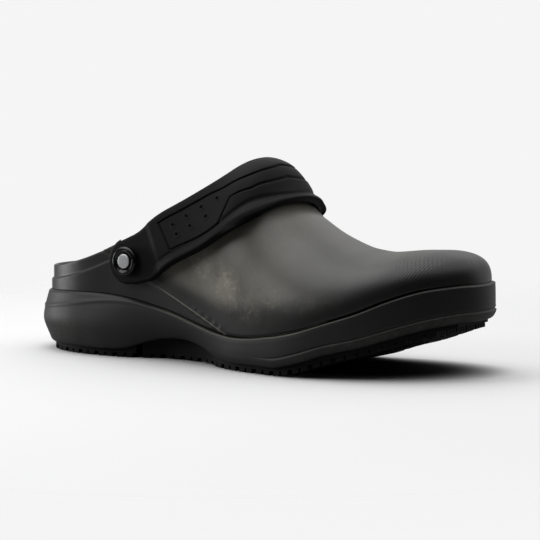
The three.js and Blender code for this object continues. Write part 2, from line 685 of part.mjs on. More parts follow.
const HEAD_SEAT = STRAP_BASE + STRAP - NECK.thinner + SEAT;
const DISH = 0.9; // depth of the dish in the rivet's head
const rivetProfile = [
  [0, -WALL - SEAT - RIVET_BACK_THICK],
  [RIVET_BACK - 0.5, -WALL - SEAT - RIVET_BACK_THICK],
  [RIVET_BACK, -WALL - SEAT - 0.6],
  [RIVET_BACK, -WALL - SEAT],
  [POST, -WALL - SEAT],
  [POST, HEAD_SEAT],
  [RIVET, HEAD_SEAT],
  [RIVET, HEAD_SEAT + RIVET_HEAD * 0.5],
  [RIVET - 0.9, HEAD_SEAT + RIVET_HEAD],
  [RIVET - 1.9, HEAD_SEAT + RIVET_HEAD],
  [RIVET - 2.5, HEAD_SEAT + RIVET_HEAD - DISH],
  [0, HEAD_SEAT + RIVET_HEAD - DISH],
];
const badgeFoot = HEAD_SEAT + RIVET_HEAD - DISH + SEAT;
const badgeProfile = [
  [0, badgeFoot],
  [BADGE, badgeFoot],
  [BADGE, badgeFoot + BADGE_THICK * 0.6],
  [BADGE - 0.5, badgeFoot + BADGE_THICK],
  [0, badgeFoot + BADGE_THICK],
];

const ROUND_STEPS = 20;
function turned(profile) {
  const points = profile.map(([r, h]) => new THREE.Vector2(r, h));
  return solidOf(new THREE.LatheGeometry(points, ROUND_STEPS));
}

// Lays a solid that is built about +Y on a side's rivet axis
function onRivetAxis(solid, outward) {
  const { point, normal } = rivetFrame(outward);
  const turn = new THREE.Quaternion().setFromUnitVectors(new THREE.Vector3(0, 1, 0), normal);
  const place = new THREE.Matrix4().compose(point, turn, new THREE.Vector3(1, 1, 1));
  return solid.transform(place.toArray());
}

function postHole(outward) {
  const reach = 2 * (WALL + HEAD_SEAT);
  const hole = solidOf(new THREE.CylinderGeometry(POST + POST_CLEARANCE, POST + POST_CLEARANCE, reach, ROUND_STEPS));
  return onRivetAxis(hole, outward);
}

const upper = makeUpper().subtract(postHole(true)).subtract(postHole(false));
const strap = makeStrap().subtract(postHole(true)).subtract(postHole(false));

const clog = new THREE.Group();
clog.add(meshOf('upper', upper, UPPER_COLOUR, 0.55));
clog.add(meshOf('midsole', makeMidsole(), SOLE_COLOUR, 0.6));
clog.add(meshOf('tread_heel', makeTread(HEEL_TREAD.from, HEEL_TREAD.to), TREAD_COLOUR, 0.75));
clog.add(meshOf('tread_ball', makeTread(BALL_TREAD.from, BALL_TREAD.to), TREAD_COLOUR, 0.75));
clog.add(meshOf('insole', makeInsole(), UPPER_COLOUR, 0.8));
clog.add(meshOf('strap', strap, UPPER_COLOUR, 0.5));
for (const [side, outward] of [['outer', true], ['inner', false]]) {
  clog.add(meshOf(`rivet_${side}`, onRivetAxis(turned(rivetProfile), outward), 0x0c0c0c, 0.25));
  clog.add(meshOf(`badge_${side}`, onRivetAxis(turned(badgeProfile), outward), 0xb9bcbc, 0.3, 1));
}

// The origin is on the floor under the middle of the sole's box
const wide = soleTravels.flatMap((travel) => [true, false].map((outward) =>
  SIDEWALL.map((row) => edgePoint(travel, outward, sideOut(row, travel), topEdge)))).flat();
const box = new THREE.Box3().setFromPoints(wide);
clog.position.set(-(box.min.x + box.max.x) / 2, -(box.min.y + box.max.y) / 2, 0);

export default clog;
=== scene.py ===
# %% [markdown]
# # A moulded chef clog
# A chef clog is one piece of foam with a few parts added: a sole that the upper grows out of, two
# rubber treads, a strap on two rivets and a loose footbed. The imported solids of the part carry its
# size and its collision. This script lays a finer skin over each of them, worked out from the same
# sizes, and gives every skin its finish. Lengths are in millimetres until a mesh is made.

# %% Load the frame
import math
import bpy
import bmesh
import numpy as np
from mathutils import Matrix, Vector


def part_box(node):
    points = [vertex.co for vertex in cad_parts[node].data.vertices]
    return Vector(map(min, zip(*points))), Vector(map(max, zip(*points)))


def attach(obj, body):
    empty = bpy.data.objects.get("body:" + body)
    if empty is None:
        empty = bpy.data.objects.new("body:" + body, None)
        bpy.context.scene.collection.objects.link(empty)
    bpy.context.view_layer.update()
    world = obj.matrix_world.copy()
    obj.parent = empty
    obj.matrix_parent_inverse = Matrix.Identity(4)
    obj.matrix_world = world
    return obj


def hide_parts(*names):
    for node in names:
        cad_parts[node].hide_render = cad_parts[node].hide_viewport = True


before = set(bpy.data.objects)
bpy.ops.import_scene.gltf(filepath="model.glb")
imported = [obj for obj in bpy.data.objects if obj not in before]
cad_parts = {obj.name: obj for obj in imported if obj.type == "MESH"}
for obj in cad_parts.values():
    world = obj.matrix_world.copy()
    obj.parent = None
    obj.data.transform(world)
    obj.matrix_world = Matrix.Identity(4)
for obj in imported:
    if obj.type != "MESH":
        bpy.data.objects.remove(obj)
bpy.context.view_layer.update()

MM = 0.001
print("solids:", sorted(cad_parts))

# %% [markdown]
# ## Sizes
# The real maker starts from a last, the wooden or plastic foot that the foam is moulded around. Its
# sizes come first, because the upper, the strap and the rivets all follow its surface. They are the
# sizes of the solids, so that each skin lies where its solid does.

# %% Named sizes
LENGTH = 288
BALL_WIDTH = 108
HEEL_STACK = 36
TOE_SPRING = 27
ARCH_RISE = 8.5
INSTEP_RISE = 91
COLLAR_BACK = 13
COLLAR_SHARE = 0.535
WALL = 3.6
BAND_HEIGHT = 6.8
BAND_STEP = 1.2
VAMP_STEP = 1.2
EDGE_PROUD = 1.7
TOE_PROUD = 3.2
HEEL_BULGE = 3.3
TREAD = 4.5
TREAD_PLATE = 2
TREAD_INSET = 2.2
LUG_PITCH = 13
LUG_GAP = 3
LUG_COLUMNS = 5
INSOLE = 4
INSOLE_CLEARANCE = 0.6
FOOTBED_DEPTH = 12
FOOTBED_DISH = 1.6
SEAT = 0.3
STRAP = 4
STRAP_LIP = 2.2
STRAP_GAP = 0.6
STRAP_END = 13
PANEL_START = 0.24
RIVET = 8.3
RIVET_HEAD = 2.6
BADGE = 4.1
BADGE_THICK = 0.7
print("a shoe", LENGTH + HEEL_BULGE, "mm long")

# %% Tables of the sole, the upper and the strap
def table(names, rows):
    """A table with named columns."""
    return dict(zip(names.split(), np.array(rows, float).T))


PLAN = table("share half shift", [
    (0, 0, 0), (0.04, 0.24, 0), (0.13, 0.348, 0), (0.25, 0.357, -0.005), (0.38, 0.36, -0.018),
    (0.5, 0.4, -0.018), (0.6, 0.463, -0.008), (0.7, 0.5, 0.005), (0.8, 0.473, 0.028),
    (0.9, 0.383, 0.053), (0.96, 0.262, 0.07), (1, 0, 0.08)])
SIDE = table("share lift arch wall depth", [
    (0, 0.02, 0, 0.96, 0.95), (0.06, 0, 0, 0.99, 0.98), (0.135, 0, 0, 1.02, 1.02),
    (0.215, 0, 0, 1.02, 1.02), (0.26, 0, 0.12, 0.995, 0.97), (0.3, 0, 0.55, 0.955, 0.9),
    (0.345, 0, 0.9, 0.885, 0.8), (0.4, 0, 1, 0.79, 0.68), (0.456, 0, 0.62, 0.665, 0.55),
    (0.505, 0, 0.12, 0.57, 0.5), (0.54, 0, 0, 0.535, 0.5), (0.6, 0, 0, 0.547, 0.55),
    (0.657, 0, 0, 0.61, 0.68), (0.71, 0.11, 0.08, 0.618, 0.76), (0.76, 0.29, 0.06, 0.615, 0.84),
    (0.83, 0.5, 0, 0.65, 0.98), (0.88, 0.68, 0, 0.693, 1.1), (0.93, 0.855, 0, 0.71, 1.18),
    (0.97, 0.965, 0, 0.69, 1.2), (1, 1, 0, 0.667, 1.2)])
FORM = table("share ridge square", [
    (0, 0.909, 2.7), (0.2, 0.899, 2.7), (0.35, 0.952, 2.6), (0.45, 0.967, 2.5), (0.5, 0.982, 2.5),
    (COLLAR_SHARE, 1, 2.45), (0.556, 0.962, 2.3), (0.575, 0.836, 2.3), (0.6, 0.737, 2.3),
    (0.62, 0.693, 2.25), (0.64, 0.641, 2.2), (0.667, 0.579, 2.15), (0.7, 0.505, 2.2),
    (0.74, 0.423, 2.2), (0.786, 0.352, 2.25), (0.84, 0.298, 2.3), (0.9, 0.23, 2.35),
    (0.94, 0.188, 2.4), (0.965, 0.16, 2.4), (0.985, 0.121, 2.4), (1, 0, 2.4)])
COLLAR = table("share climb", [
    (0, 0), (0.095, 0.012), (0.19, 0.05), (0.295, 0.115), (0.39, 0.2), (0.485, 0.3), (0.58, 0.41),
    (0.675, 0.525), (0.77, 0.642), (0.86, 0.76), (0.925, 0.862), (0.965, 0.93), (1, 1)])
SIDEWALL = table("level heel waist ball toe", [
    (0, -0.45, -5, -0.9, -0.9), (0.17, 0.2, -3.6, 0, 0.2), (0.42, 1, -1.9, 0.35, 0.25),
    (0.7, 0.7, -0.4, 0.35, 0.2), (0.9, 0.2, 0.2, 0.2, 0.1), (0.97, 0, 0, 0, 0),
    (1, -0.2, -0.4, -0.4, -0.4)])
STRAP_PATH = table("along upper upper_turn lower lower_turn groove", [
    (0, 0.268, 15.5, 0.31, 3.2, 0.16), (0.1, 0.312, 20.7, 0.352, 6, 0.16),
    (0.17, 0.333, 25, 0.376, 9.2, 0.16), (0.25, 0.357, 30.3, 0.405, 13.6, 0.16),
    (0.4, 0.392, 36.8, 0.455, 20.4, 0.16), (0.52, 0.426, 44.3, 0.5, 26.5, 0.16),
    (0.58, 0.444, 49, 0.525, 30.8, 0.17), (0.65, 0.463, 54, 0.546, 36.3, 0.2),
    (0.72, 0.482, 60.3, 0.561, 44.5, 0.3), (0.82, 0.503, 69, 0.574, 58, 0.42),
    (0.91, 0.518, 78.5, 0.583, 73, 0.42), (1, 0.526, 90, 0.589, 90, 0.37)])
print("tables:", len(SIDE["share"]), "rows along the sole,", len(FORM["share"]), "along the upper")

# %% [markdown]
# ## The last's surface
# Every piece is asked for by two numbers: travel, from the heel (0) to the toe (1), and turn, the
# angle round the foot from its outer edge (0) over the ridge (90 degrees) to its inner edge (180).
# The curves through the tables are cubic pieces, and the section of the foot is a superellipse: a
# rounded shape between an ellipse and a box. All functions take whole arrays.

# %% Curves along the foot
def mix(a, b, t):
    """The value a share t of the way from a to b."""
    return a + (b - a) * t


def ease(low, high, value):
    """0 below low, 1 above high, and a smooth S between."""
    t = np.clip((value - low) / (high - low), 0, 1)
    return t * t * (3 - 2 * t)


def bell(distance, width):
    """1 at distance 0, falling smoothly to 0 at the width."""
    return 1 - ease(0, width, np.abs(distance))


def smooth_curve(places, values):
    """Cubic pieces through the points, each with its neighbours' mean slope."""
    step = np.diff(places)
    secant = np.diff(values) / step
    middle = (secant[:-1] * step[1:] + secant[1:] * step[:-1]) / (step[1:] + step[:-1])
    slope = np.concatenate([secant[:1], middle, secant[-1:]])

    def at(place):
        i = np.clip(np.searchsorted(places, place) - 1, 0, len(places) - 2)
        t = (place - places[i]) / step[i]
        u = 1 - t
        ends = values[i] * u * u * (1 + 2 * t) + values[i + 1] * t * t * (3 - 2 * t)
        return ends + step[i] * t * u * (slope[i] * u - slope[i + 1] * t)

    return at


def share_at(travel):
    """Travel slows at heel and toe: its share of the length is half of one minus its cosine."""
    return (1 - np.cos(np.pi * np.clip(travel, 0, 1))) / 2


def travel_at(share):
    """The travel that reaches a share of the length."""
    return np.arccos(1 - 2 * np.clip(share, 0, 1)) / np.pi


def foot_curve(rows, column):
    """A curve along the foot through one column of a table."""
    at = smooth_curve(travel_at(rows["share"]), rows[column])
    return lambda travel: at(np.clip(travel, 0, 1))


plan_half, plan_shift = foot_curve(PLAN, "half"), foot_curve(PLAN, "shift")
lift, arch = foot_curve(SIDE, "lift"), foot_curve(SIDE, "arch")
wall_rise, depth = foot_curve(SIDE, "wall"), foot_curve(SIDE, "depth")
ridge, square = foot_curve(FORM, "ridge"), foot_curve(FORM, "square")
climb = smooth_curve(COLLAR["share"], COLLAR["climb"])
COLLAR_TRAVEL = float(travel_at(COLLAR_SHARE))


def tread_height(travel):
    """Height of the tread line over the floor."""
    return TOE_SPRING * np.maximum(0, lift(travel))


def lower_edge(travel):
    """Height of the midsole's lower edge."""
    return tread_height(travel) + TREAD + ARCH_RISE * arch(travel)


def top_edge(travel):
    """Height of the midsole's top edge."""
    return tread_height(travel) + HEEL_STACK * wall_rise(travel)


def footbed(travel):
    """Height of the footbed at its sides."""
    return top_edge(travel) - FOOTBED_DEPTH * depth(travel)


def collar_height(travel):
    """Height of the collar's line: a share of the climb from the heel's back to the ridge."""
    back = top_edge(0.0) + SEAT + COLLAR_BACK
    front = top_edge(COLLAR_TRAVEL) + SEAT + INSTEP_RISE
    return mix(back, front, climb(np.clip(share_at(travel) / COLLAR_SHARE, 0, 1)))


print("collar from", round(float(collar_height(0.0))), "to", round(float(collar_height(1.0))), "mm")

# %% The section round the foot, and its skins
NEAR = 2e-3


def form(travel, turn):
    """Point of the last: x follows the travel, y is the half width times the turn's cosine and z the
    ridge's height times its sine, both raised to two over the section's squareness."""
    travel, turn = np.broadcast_arrays(np.asarray(travel, float), np.asarray(turn, float))
    power = 2 / square(travel)
    across, up = np.cos(turn), np.maximum(0, np.sin(turn))
    half = (BALL_WIDTH / 2 - EDGE_PROUD) * 2 * plan_half(travel)
    x = mix(EDGE_PROUD, LENGTH - TOE_PROUD, share_at(travel))
    y = BALL_WIDTH * plan_shift(travel) - half * np.sign(across) * np.abs(across) ** power
    z = top_edge(travel) + SEAT + INSTEP_RISE * ridge(travel) * up ** power
    return np.stack([x, y, z], -1)


def unit(vectors):
    """Vectors scaled to length one."""
    return vectors / np.maximum(np.linalg.norm(vectors, axis=-1, keepdims=True), 1e-12)


def form_normal(travel, turn):
    """Outward normal: the product of the slopes along and round the last."""
    travel, turn = np.broadcast_arrays(np.asarray(travel, float), np.asarray(turn, float))
    a = np.clip(travel, 2 * NEAR, 1 - 2 * NEAR)
    b = np.clip(turn, 2 * NEAR, np.pi - 2 * NEAR)
    normal = unit(np.cross(form(a + NEAR, b) - form(a - NEAR, b), form(a, b + NEAR) - form(a, b - NEAR)))
    normal = np.where((travel < NEAR)[..., None], [-1.0, 0, 0], normal)
    return np.where((travel > 1 - NEAR)[..., None], [1.0, 0, 0], normal)


def skin(travel, turn, offset):
    """Point at a distance over the last's surface."""
    return form(travel, turn) + form_normal(travel, turn) * np.asarray(offset, float)[..., None]


def turn_at_height(travel, height):
    """Turn at which the section reaches a height, on the outer side."""
    share = np.clip((height - top_edge(travel) - SEAT) / (INSTEP_RISE * ridge(travel)), 0, 1)
    return np.arcsin(share ** (square(travel) / 2))


def even_turns(travel, last, shares):
    """Turns at the given shares of the section's length, from the edge to a last turn."""
    fine = np.linspace(0, 1, 161)
    turns = last[:, None] * fine
    points = form(travel[:, None], turns)
    steps = np.linalg.norm(np.diff(points, axis=1), axis=-1)
    length = np.concatenate([np.zeros((len(travel), 1)), np.cumsum(steps, axis=1)], 1)
    length /= length[:, -1:]
    return np.stack([np.interp(s, l, t) for s, l, t in zip(shares, length, turns)])


def edge_point(travel, side, out):
    """Point of the plan's edge, moved outwards by a distance, at height 0. side is -1 on the outer
    side and 1 on the inner."""
    def at(place):
        y = BALL_WIDTH * (plan_shift(place) + side * plan_half(place))
        return np.stack([LENGTH * share_at(place), y, 0 * y], -1)
    a = np.clip(travel, NEAR, 1 - NEAR)
    along = unit(at(a + NEAR) - at(a - NEAR))
    normal = np.stack([along[..., 1], -along[..., 0], 0 * along[..., 0]], -1) * -side
    normal = np.where((travel < NEAR)[..., None], [-1.0, 0, 0], normal)
    normal = np.where((travel > 1 - NEAR)[..., None], [1.0, 0, 0], normal)
    return at(travel) + normal * np.asarray(out, float)[..., None]


mid_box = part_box("midsole")
fine_travel = np.linspace(0, 1, 801)
widest = np.concatenate([
    edge_point(fine_travel, side, 0.35 * EDGE_PROUD + 0 * fine_travel) for side in (-1, 1)])
PLACE = np.array([
    (mid_box[0][0] + mid_box[1][0]) / 2 / MM - (LENGTH + 0.25 * EDGE_PROUD - HEEL_BULGE) / 2,
    (mid_box[0][1] + mid_box[1][1]) / 2 / MM - (widest[:, 1].min() + widest[:, 1].max()) / 2,
    0.0])
print("the last starts at", PLACE.round(2), "mm in the row frame")

# %% [markdown]
# ## From a grid to a mesh
# A grid of points becomes a mesh by joining each point with its neighbours in the next row and
# column. Where rows or columns run into one point, or two halves meet, the doubles are merged, so
# that the skin is closed. A closed skin has a volume, and its sign tells whether the faces look out.

# %% Mesh helpers
def grid_faces(rows, columns, start=0, wrap=True):
    """Corner numbers of the squares of a grid whose rows are rings when wrap is true."""
    r, c = np.meshgrid(np.arange(rows - 1), np.arange(columns if wrap else columns - 1), indexing="ij")
    after = (c + 1) % columns
    quads = np.stack([r * columns + c, r * columns + after,
                      (r + 1) * columns + after, (r + 1) * columns + c], -1)
    return quads + start


def fan(ring, flip=False):
    """One face over a ring of corner numbers."""
    return list(ring)[::-1] if flip else list(ring)


def make_piece(name, points, quads, caps=(), attributes=None, uv=None, merge=True):
    """A mesh object from points in millimetres, squares and end faces, turned to look outwards."""
    points = (np.asarray(points).reshape(-1, 3) + PLACE) * MM
    quads = np.asarray(quads).reshape(-1, 4)
    mesh = bpy.data.meshes.new(name)
    faces = quads.tolist() + [list(map(int, cap)) for cap in caps]
    mesh.from_pydata(points, [], faces)
    for key, values in (attributes or {}).items():
        layer = mesh.attributes.new(key, "FLOAT", "POINT")
        layer.data.foreach_set("value", np.asarray(values, np.float32).ravel())
    if uv is not None:
        corners = np.empty(len(mesh.loops), np.int32)
        mesh.loops.foreach_get("vertex_index", corners)
        layer = mesh.uv_layers.new(name="surface")
        layer.data.foreach_set("uv", np.asarray(uv, np.float32).reshape(-1, 2)[corners].ravel())
    body = bmesh.new()
    body.from_mesh(mesh)
    if merge:
        bmesh.ops.remove_doubles(body, verts=body.verts, dist=2e-6)
        bmesh.ops.dissolve_degenerate(body, edges=body.edges, dist=1e-7)
    if body.calc_volume(signed=True) < 0:
        bmesh.ops.reverse_faces(body, faces=body.faces)
    open_edges = sum(len(edge.link_faces) != 2 for edge in body.edges)
    body.to_mesh(mesh)
    body.free()
    mesh.shade_smooth()
    piece = bpy.data.objects.new(name, mesh)
    bpy.context.scene.collection.objects.link(piece)
    triangles = sum(len(p.vertices) - 2 for p in mesh.polygons)
    print(name, triangles, "triangles,", open_edges, "open edges")
    return piece


def stand_for(piece, node, material):
    """The piece rides on the shoe, stands for a solid and takes its finish."""
    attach(piece, "root")
    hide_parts(*([node] if isinstance(node, str) else node))
    piece.data.materials.clear()
    piece.data.materials.append(material)
    return piece

# %% [markdown]
# ## Finishes
# Moulded foam has a fine closed skin: nearly black, with a soft broad gloss and a faint grain from the
# mould. Used foam also shows pale rubbed places. A pale sheen is painted where highlights fall, and
# grooves and the toe get painted shade. Grain, scuffs and the painted sheen and shade are node groups,
# because the upper, strap and sole all use them with values of their own.

# %% Node helpers
def new_group(name, inputs, outputs):
    """A shader node group with named sockets; inputs are (name, kind, default)."""
    group = bpy.data.node_groups.new(name, "ShaderNodeTree")
    for label, kind, default in inputs:
        socket = group.interface.new_socket(name=label, in_out="INPUT", socket_type="NodeSocket" + kind)
        if default is not None:
            socket.default_value = default
    for label, kind in outputs:
        group.interface.new_socket(name=label, in_out="OUTPUT", socket_type="NodeSocket" + kind)
    return group, group.nodes.new("NodeGroupInput"), group.nodes.new("NodeGroupOutput")


def set_inputs(tree, node, inputs):
    """Sets a node's sockets, each from a value or from another node's output."""
    for key, value in inputs.items():
        if isinstance(value, bpy.types.NodeSocket):
            tree.links.new(value, node.inputs[key])
        else:
            node.inputs[key].default_value = value
    return node


def math_node(tree, operation, a, b=0.5, c=None, clamp=False):
    """A Math node; its output."""
    node = tree.nodes.new("ShaderNodeMath")
    node.operation = operation
    node.use_clamp = clamp
    values = {0: a, 1: b} if c is None else {0: a, 1: b, 2: c}
    return set_inputs(tree, node, values).outputs[0]


def noise_node(tree, vector, scale, detail=3.0, roughness=0.55):
    """A Noise node's value."""
    node = tree.nodes.new("ShaderNodeTexNoise")
    set_inputs(tree, node, {"Vector": vector, "Scale": scale, "Detail": detail, "Roughness": roughness})
    return node.outputs[0]


def range_node(tree, value, low, high, to_low=0.0, to_high=1.0, smooth=True):
    """A Map Range node with clamped ends."""
    node = tree.nodes.new("ShaderNodeMapRange")
    node.interpolation_type = "SMOOTHSTEP" if smooth else "LINEAR"
    for i, entry in enumerate((value, low, high, to_low, to_high)):
        set_inputs(tree, node, {i: entry})
    return node.outputs[0]


def mix_colour(tree, factor, a, b):
    """A Mix node for colours; its output."""
    node = tree.nodes.new("ShaderNodeMix")
    node.data_type = "RGBA"
    set_inputs(tree, node, {0: factor, 6: a, 7: b})
    return node.outputs[2]


def attribute(tree, name):
    """The value of a piece's own attribute."""
    node = tree.nodes.new("ShaderNodeAttribute")
    node.attribute_name = name
    return node.outputs["Fac"]


def group_node(tree, group, **inputs):
    """A placed node group with its values."""
    node = tree.nodes.new("ShaderNodeGroup")
    node.node_tree = group
    return set_inputs(tree, node, {key.replace("_", " "): value for key, value in inputs.items()})


# %% Grain of the mould
grain_group, given, result = new_group(
    "mould grain",
    [("Vector", "Vector", None), ("Pebble", "Float", 1600.0), ("Cloud", "Float", 45.0),
     ("Rough", "Float", 0.45), ("Spread", "Float", 0.06)],
    [("Height", "Float"), ("Roughness", "Float")])
pebble = noise_node(grain_group, given.outputs["Vector"], given.outputs["Pebble"], 2.0, 0.5)
cloud = noise_node(grain_group, given.outputs["Vector"], given.outputs["Cloud"], 4.0, 0.6)
centred = math_node(grain_group, "SUBTRACT", cloud, 0.5)
swing = math_node(grain_group, "MULTIPLY", centred, given.outputs["Spread"])
rough = math_node(grain_group, "ADD", given.outputs["Rough"], math_node(grain_group, "MULTIPLY", swing, 2.0))
set_inputs(grain_group, result, {"Height": pebble, "Roughness": rough})
print("grain group with", len(grain_group.nodes), "nodes")

# %% Scuffs
scuff_group, given, result = new_group(
    "rubbed places",
    [("Vector", "Vector", None), ("Where", "Float", 0.0), ("Colour", "Color", (0.02, 0.02, 0.02, 1)),
     ("Rubbed", "Color", (0.34, 0.32, 0.26, 1)), ("Amount", "Float", 0.5)],
    [("Color", "Color"), ("Mask", "Float")])
patches = noise_node(scuff_group, given.outputs["Vector"], 70.0, 5.0, 0.65)
specks = noise_node(scuff_group, given.outputs["Vector"], 420.0, 3.0, 0.7)
soft = range_node(scuff_group, patches, 0.3, 0.62)
hard = range_node(scuff_group, specks, 0.45, 0.75, 0.35, 1.0)
mask = math_node(scuff_group, "MULTIPLY", soft, hard)
mask = math_node(scuff_group, "MULTIPLY", mask, given.outputs["Where"])
mask = math_node(scuff_group, "MULTIPLY", mask, given.outputs["Amount"], clamp=True)
colour = mix_colour(scuff_group, mask, given.outputs["Colour"], given.outputs["Rubbed"])
set_inputs(scuff_group, result, {"Color": colour, "Mask": mask})
print("scuff group with", len(scuff_group.nodes), "nodes")

# %% Pale film and dark grooves
# Painted light and shade: a pale, slightly warm painted sheen stands for highlights, and painted shade
# for dark places. Both are masks: the sheen's colour goes over the foam's own, a little patchy, and the
# painted shade goes nearly black.
PAINTED_SHADE_COLOUR = (0.001, 0.001, 0.001, 1)
painted_sheen_group, given, result = new_group(
    "painted sheen",
    [("Vector", "Vector", None), ("Painted Sheen", "Float", 0.0), ("Painted Shade", "Float", 0.0),
     ("Colour", "Color", (0.02, 0.02, 0.02, 1)), ("Pale", "Color", (0.18, 0.174, 0.146, 1))],
    [("Color", "Color")])
sheen_patches = noise_node(painted_sheen_group, given.outputs["Vector"], 38.0, 4.0, 0.6)
patchy = range_node(painted_sheen_group, sheen_patches, 0.3, 0.65, 0.72, 1.0)
cover = math_node(painted_sheen_group, "MULTIPLY", given.outputs["Painted Sheen"], patchy)
colour = mix_colour(painted_sheen_group, cover, given.outputs["Colour"], given.outputs["Pale"])
colour = mix_colour(painted_sheen_group, given.outputs["Painted Shade"], colour, PAINTED_SHADE_COLOUR)
set_inputs(painted_sheen_group, result, {"Color": colour})
print("film group with", len(painted_sheen_group.nodes), "nodes")


# %% Foam materials
def new_material(name):
    """A material with an empty tree, its shader and its object coordinates."""
    material = bpy.data.materials.new(name)
    material.use_nodes = True
    tree = material.node_tree
    tree.nodes.clear()
    shader = tree.nodes.new("ShaderNodeBsdfPrincipled")
    out = tree.nodes.new("ShaderNodeOutputMaterial")
    tree.links.new(shader.outputs[0], out.inputs[0])
    where = tree.nodes.new("ShaderNodeTexCoord")
    return material, tree, shader, where.outputs["Object"]


def bump_node(tree, height, strength, distance, normal=None):
    """A Bump node; its normal."""
    node = tree.nodes.new("ShaderNodeBump")
    set_inputs(tree, node, {"Height": height, "Strength": strength, "Distance": distance})
    if normal is not None:
        tree.links.new(normal, node.inputs["Normal"])
    return node.outputs[0]


def foam(name, colour, rough, spread, grain, where_scuffed=None, amount=0.0, gloss=0.5):
    """Moulded foam: nearly black, with grain in its gloss and its bump, and scuffs, a painted sheen, and
    painted shade for dark grooves, on masks."""
    material, tree, shader, place = new_material(name)
    skin_node = group_node(tree, grain_group, Vector=place, Rough=rough, Spread=spread)
    painted_sheen = group_node(tree, painted_sheen_group, Vector=place, Colour=(*colour, 1))
    scuffs = group_node(tree, scuff_group, Vector=place, Amount=amount)
    tree.links.new(painted_sheen.outputs["Color"], scuffs.inputs["Colour"])
    if where_scuffed:
        tree.links.new(attribute(tree, where_scuffed), scuffs.inputs["Where"])
        tree.links.new(attribute(tree, "painted_sheen"), painted_sheen.inputs["Painted Sheen"])
        tree.links.new(attribute(tree, "painted_shade"), painted_sheen.inputs["Painted Shade"])
    tree.links.new(scuffs.outputs["Color"], shader.inputs["Base Color"])
    rubbed = math_node(tree, "MULTIPLY_ADD", scuffs.outputs["Mask"], 0.12, skin_node.outputs["Roughness"])
    tree.links.new(rubbed, shader.inputs["Roughness"])
    shader.inputs["Specular IOR Level"].default_value = gloss
    normal = bump_node(tree, skin_node.outputs["Height"], grain, 0.00012)
    tree.links.new(normal, shader.inputs["Normal"])
    return material, tree, shader, normal


UPPER_COLOUR = (0.0075, 0.0074, 0.007)
STRAP_COLOUR = (0.006, 0.006, 0.0058)
SOLE_COLOUR = (0.027, 0.027, 0.0275)
TREAD_COLOUR = (0.005, 0.005, 0.0053)
upper_foam, upper_tree, upper_shader, upper_normal = foam(
    "upper foam", UPPER_COLOUR, 0.4, 0.06, 0.25, "scuffed", 1.6, gloss=0.6)
strap_foam = foam("strap foam", STRAP_COLOUR, 0.55, 0.06, 0.4, "scuffed", 0.5, gloss=0.13)[0]
sole_foam = foam("sole foam", SOLE_COLOUR, 0.5, 0.06, 0.3, "scuffed", 0.25, gloss=0.42)[0]
tread_rubber = foam("tread rubber", TREAD_COLOUR, 0.65, 0.05, 0.5, gloss=0.2)[0]
print("foam finishes ready")

# %% The knurled toe
# The mould roughens the toe with fine crossed ribs, that is, with small lozenges. The product of two
# sine waves along the two diagonals of the piece's own map gives them their height.
KNURL_PITCH, KNURL_SLANT, KNURL_STRENGTH, KNURL_HEIGHT = 1.7, 0.35, 0.6, 0.00012
uv_node = upper_tree.nodes.new("ShaderNodeUVMap")
uv_node.uv_map = "surface"
split = upper_tree.nodes.new("ShaderNodeSeparateXYZ")
upper_tree.links.new(uv_node.outputs[0], split.inputs[0])
along_map, round_map = split.outputs[0], split.outputs[1]
wave = 2 * math.pi / KNURL_PITCH
one = math_node(upper_tree, "ADD", along_map, math_node(upper_tree, "MULTIPLY", round_map, KNURL_SLANT))
two = math_node(upper_tree, "SUBTRACT", along_map, math_node(upper_tree, "MULTIPLY", round_map, KNURL_SLANT))
one = math_node(upper_tree, "SINE", math_node(upper_tree, "MULTIPLY", one, wave))
two = math_node(upper_tree, "SINE", math_node(upper_tree, "MULTIPLY", two, wave))
crossed = math_node(upper_tree, "ADD", one, two)
lozenge = math_node(upper_tree, "MULTIPLY", crossed, attribute(upper_tree, "knurled"))
knurl = bump_node(upper_tree, lozenge, KNURL_STRENGTH, KNURL_HEIGHT, upper_normal)
upper_tree.links.new(knurl, upper_shader.inputs["Normal"])
print("knurl pitch", KNURL_PITCH, "mm")

# %% Rivet, disc and footbed materials
rivet_plastic, tree, shader, place = new_material("rivet plastic")
shader.inputs["Base Color"].default_value = (0.006, 0.006, 0.006, 1)
fine = group_node(tree, grain_group, Vector=place, Rough=0.16, Spread=0.08)
tree.links.new(fine.outputs["Roughness"], shader.inputs["Roughness"])
badge_metal, tree, shader, place = new_material("badge metal")
shader.inputs["Base Color"].default_value = (0.85, 0.86, 0.87, 1)
shader.inputs["Metallic"].default_value = 0.55
fine = group_node(tree, grain_group, Vector=place, Rough=0.34, Spread=0.1)
tree.links.new(fine.outputs["Roughness"], shader.inputs["Roughness"])
footbed_cloth, tree, shader, place = new_material("footbed cloth")
shader.inputs["Sheen Weight"].default_value = 0.25
split = tree.nodes.new("ShaderNodeSeparateXYZ")
tree.links.new(place, split.inputs[0])
KNIT = 2 * math.pi / 0.0016
rib = math_node(tree, "SINE", math_node(tree, "MULTIPLY", split.outputs[0], KNIT))
loop = math_node(tree, "SINE", math_node(tree, "MULTIPLY", split.outputs[1], KNIT))
knit = math_node(tree, "MULTIPLY", rib, loop)
tree.links.new(bump_node(tree, knit, 0.5, 0.0003), shader.inputs["Normal"])
fine = group_node(tree, scuff_group, Vector=place, Where=0.5, Colour=(0.022, 0.022, 0.022, 1), Amount=0.4)
tree.links.new(fine.outputs["Color"], shader.inputs["Base Color"])
shader.inputs["Roughness"].default_value = 0.85
print("small finishes ready")

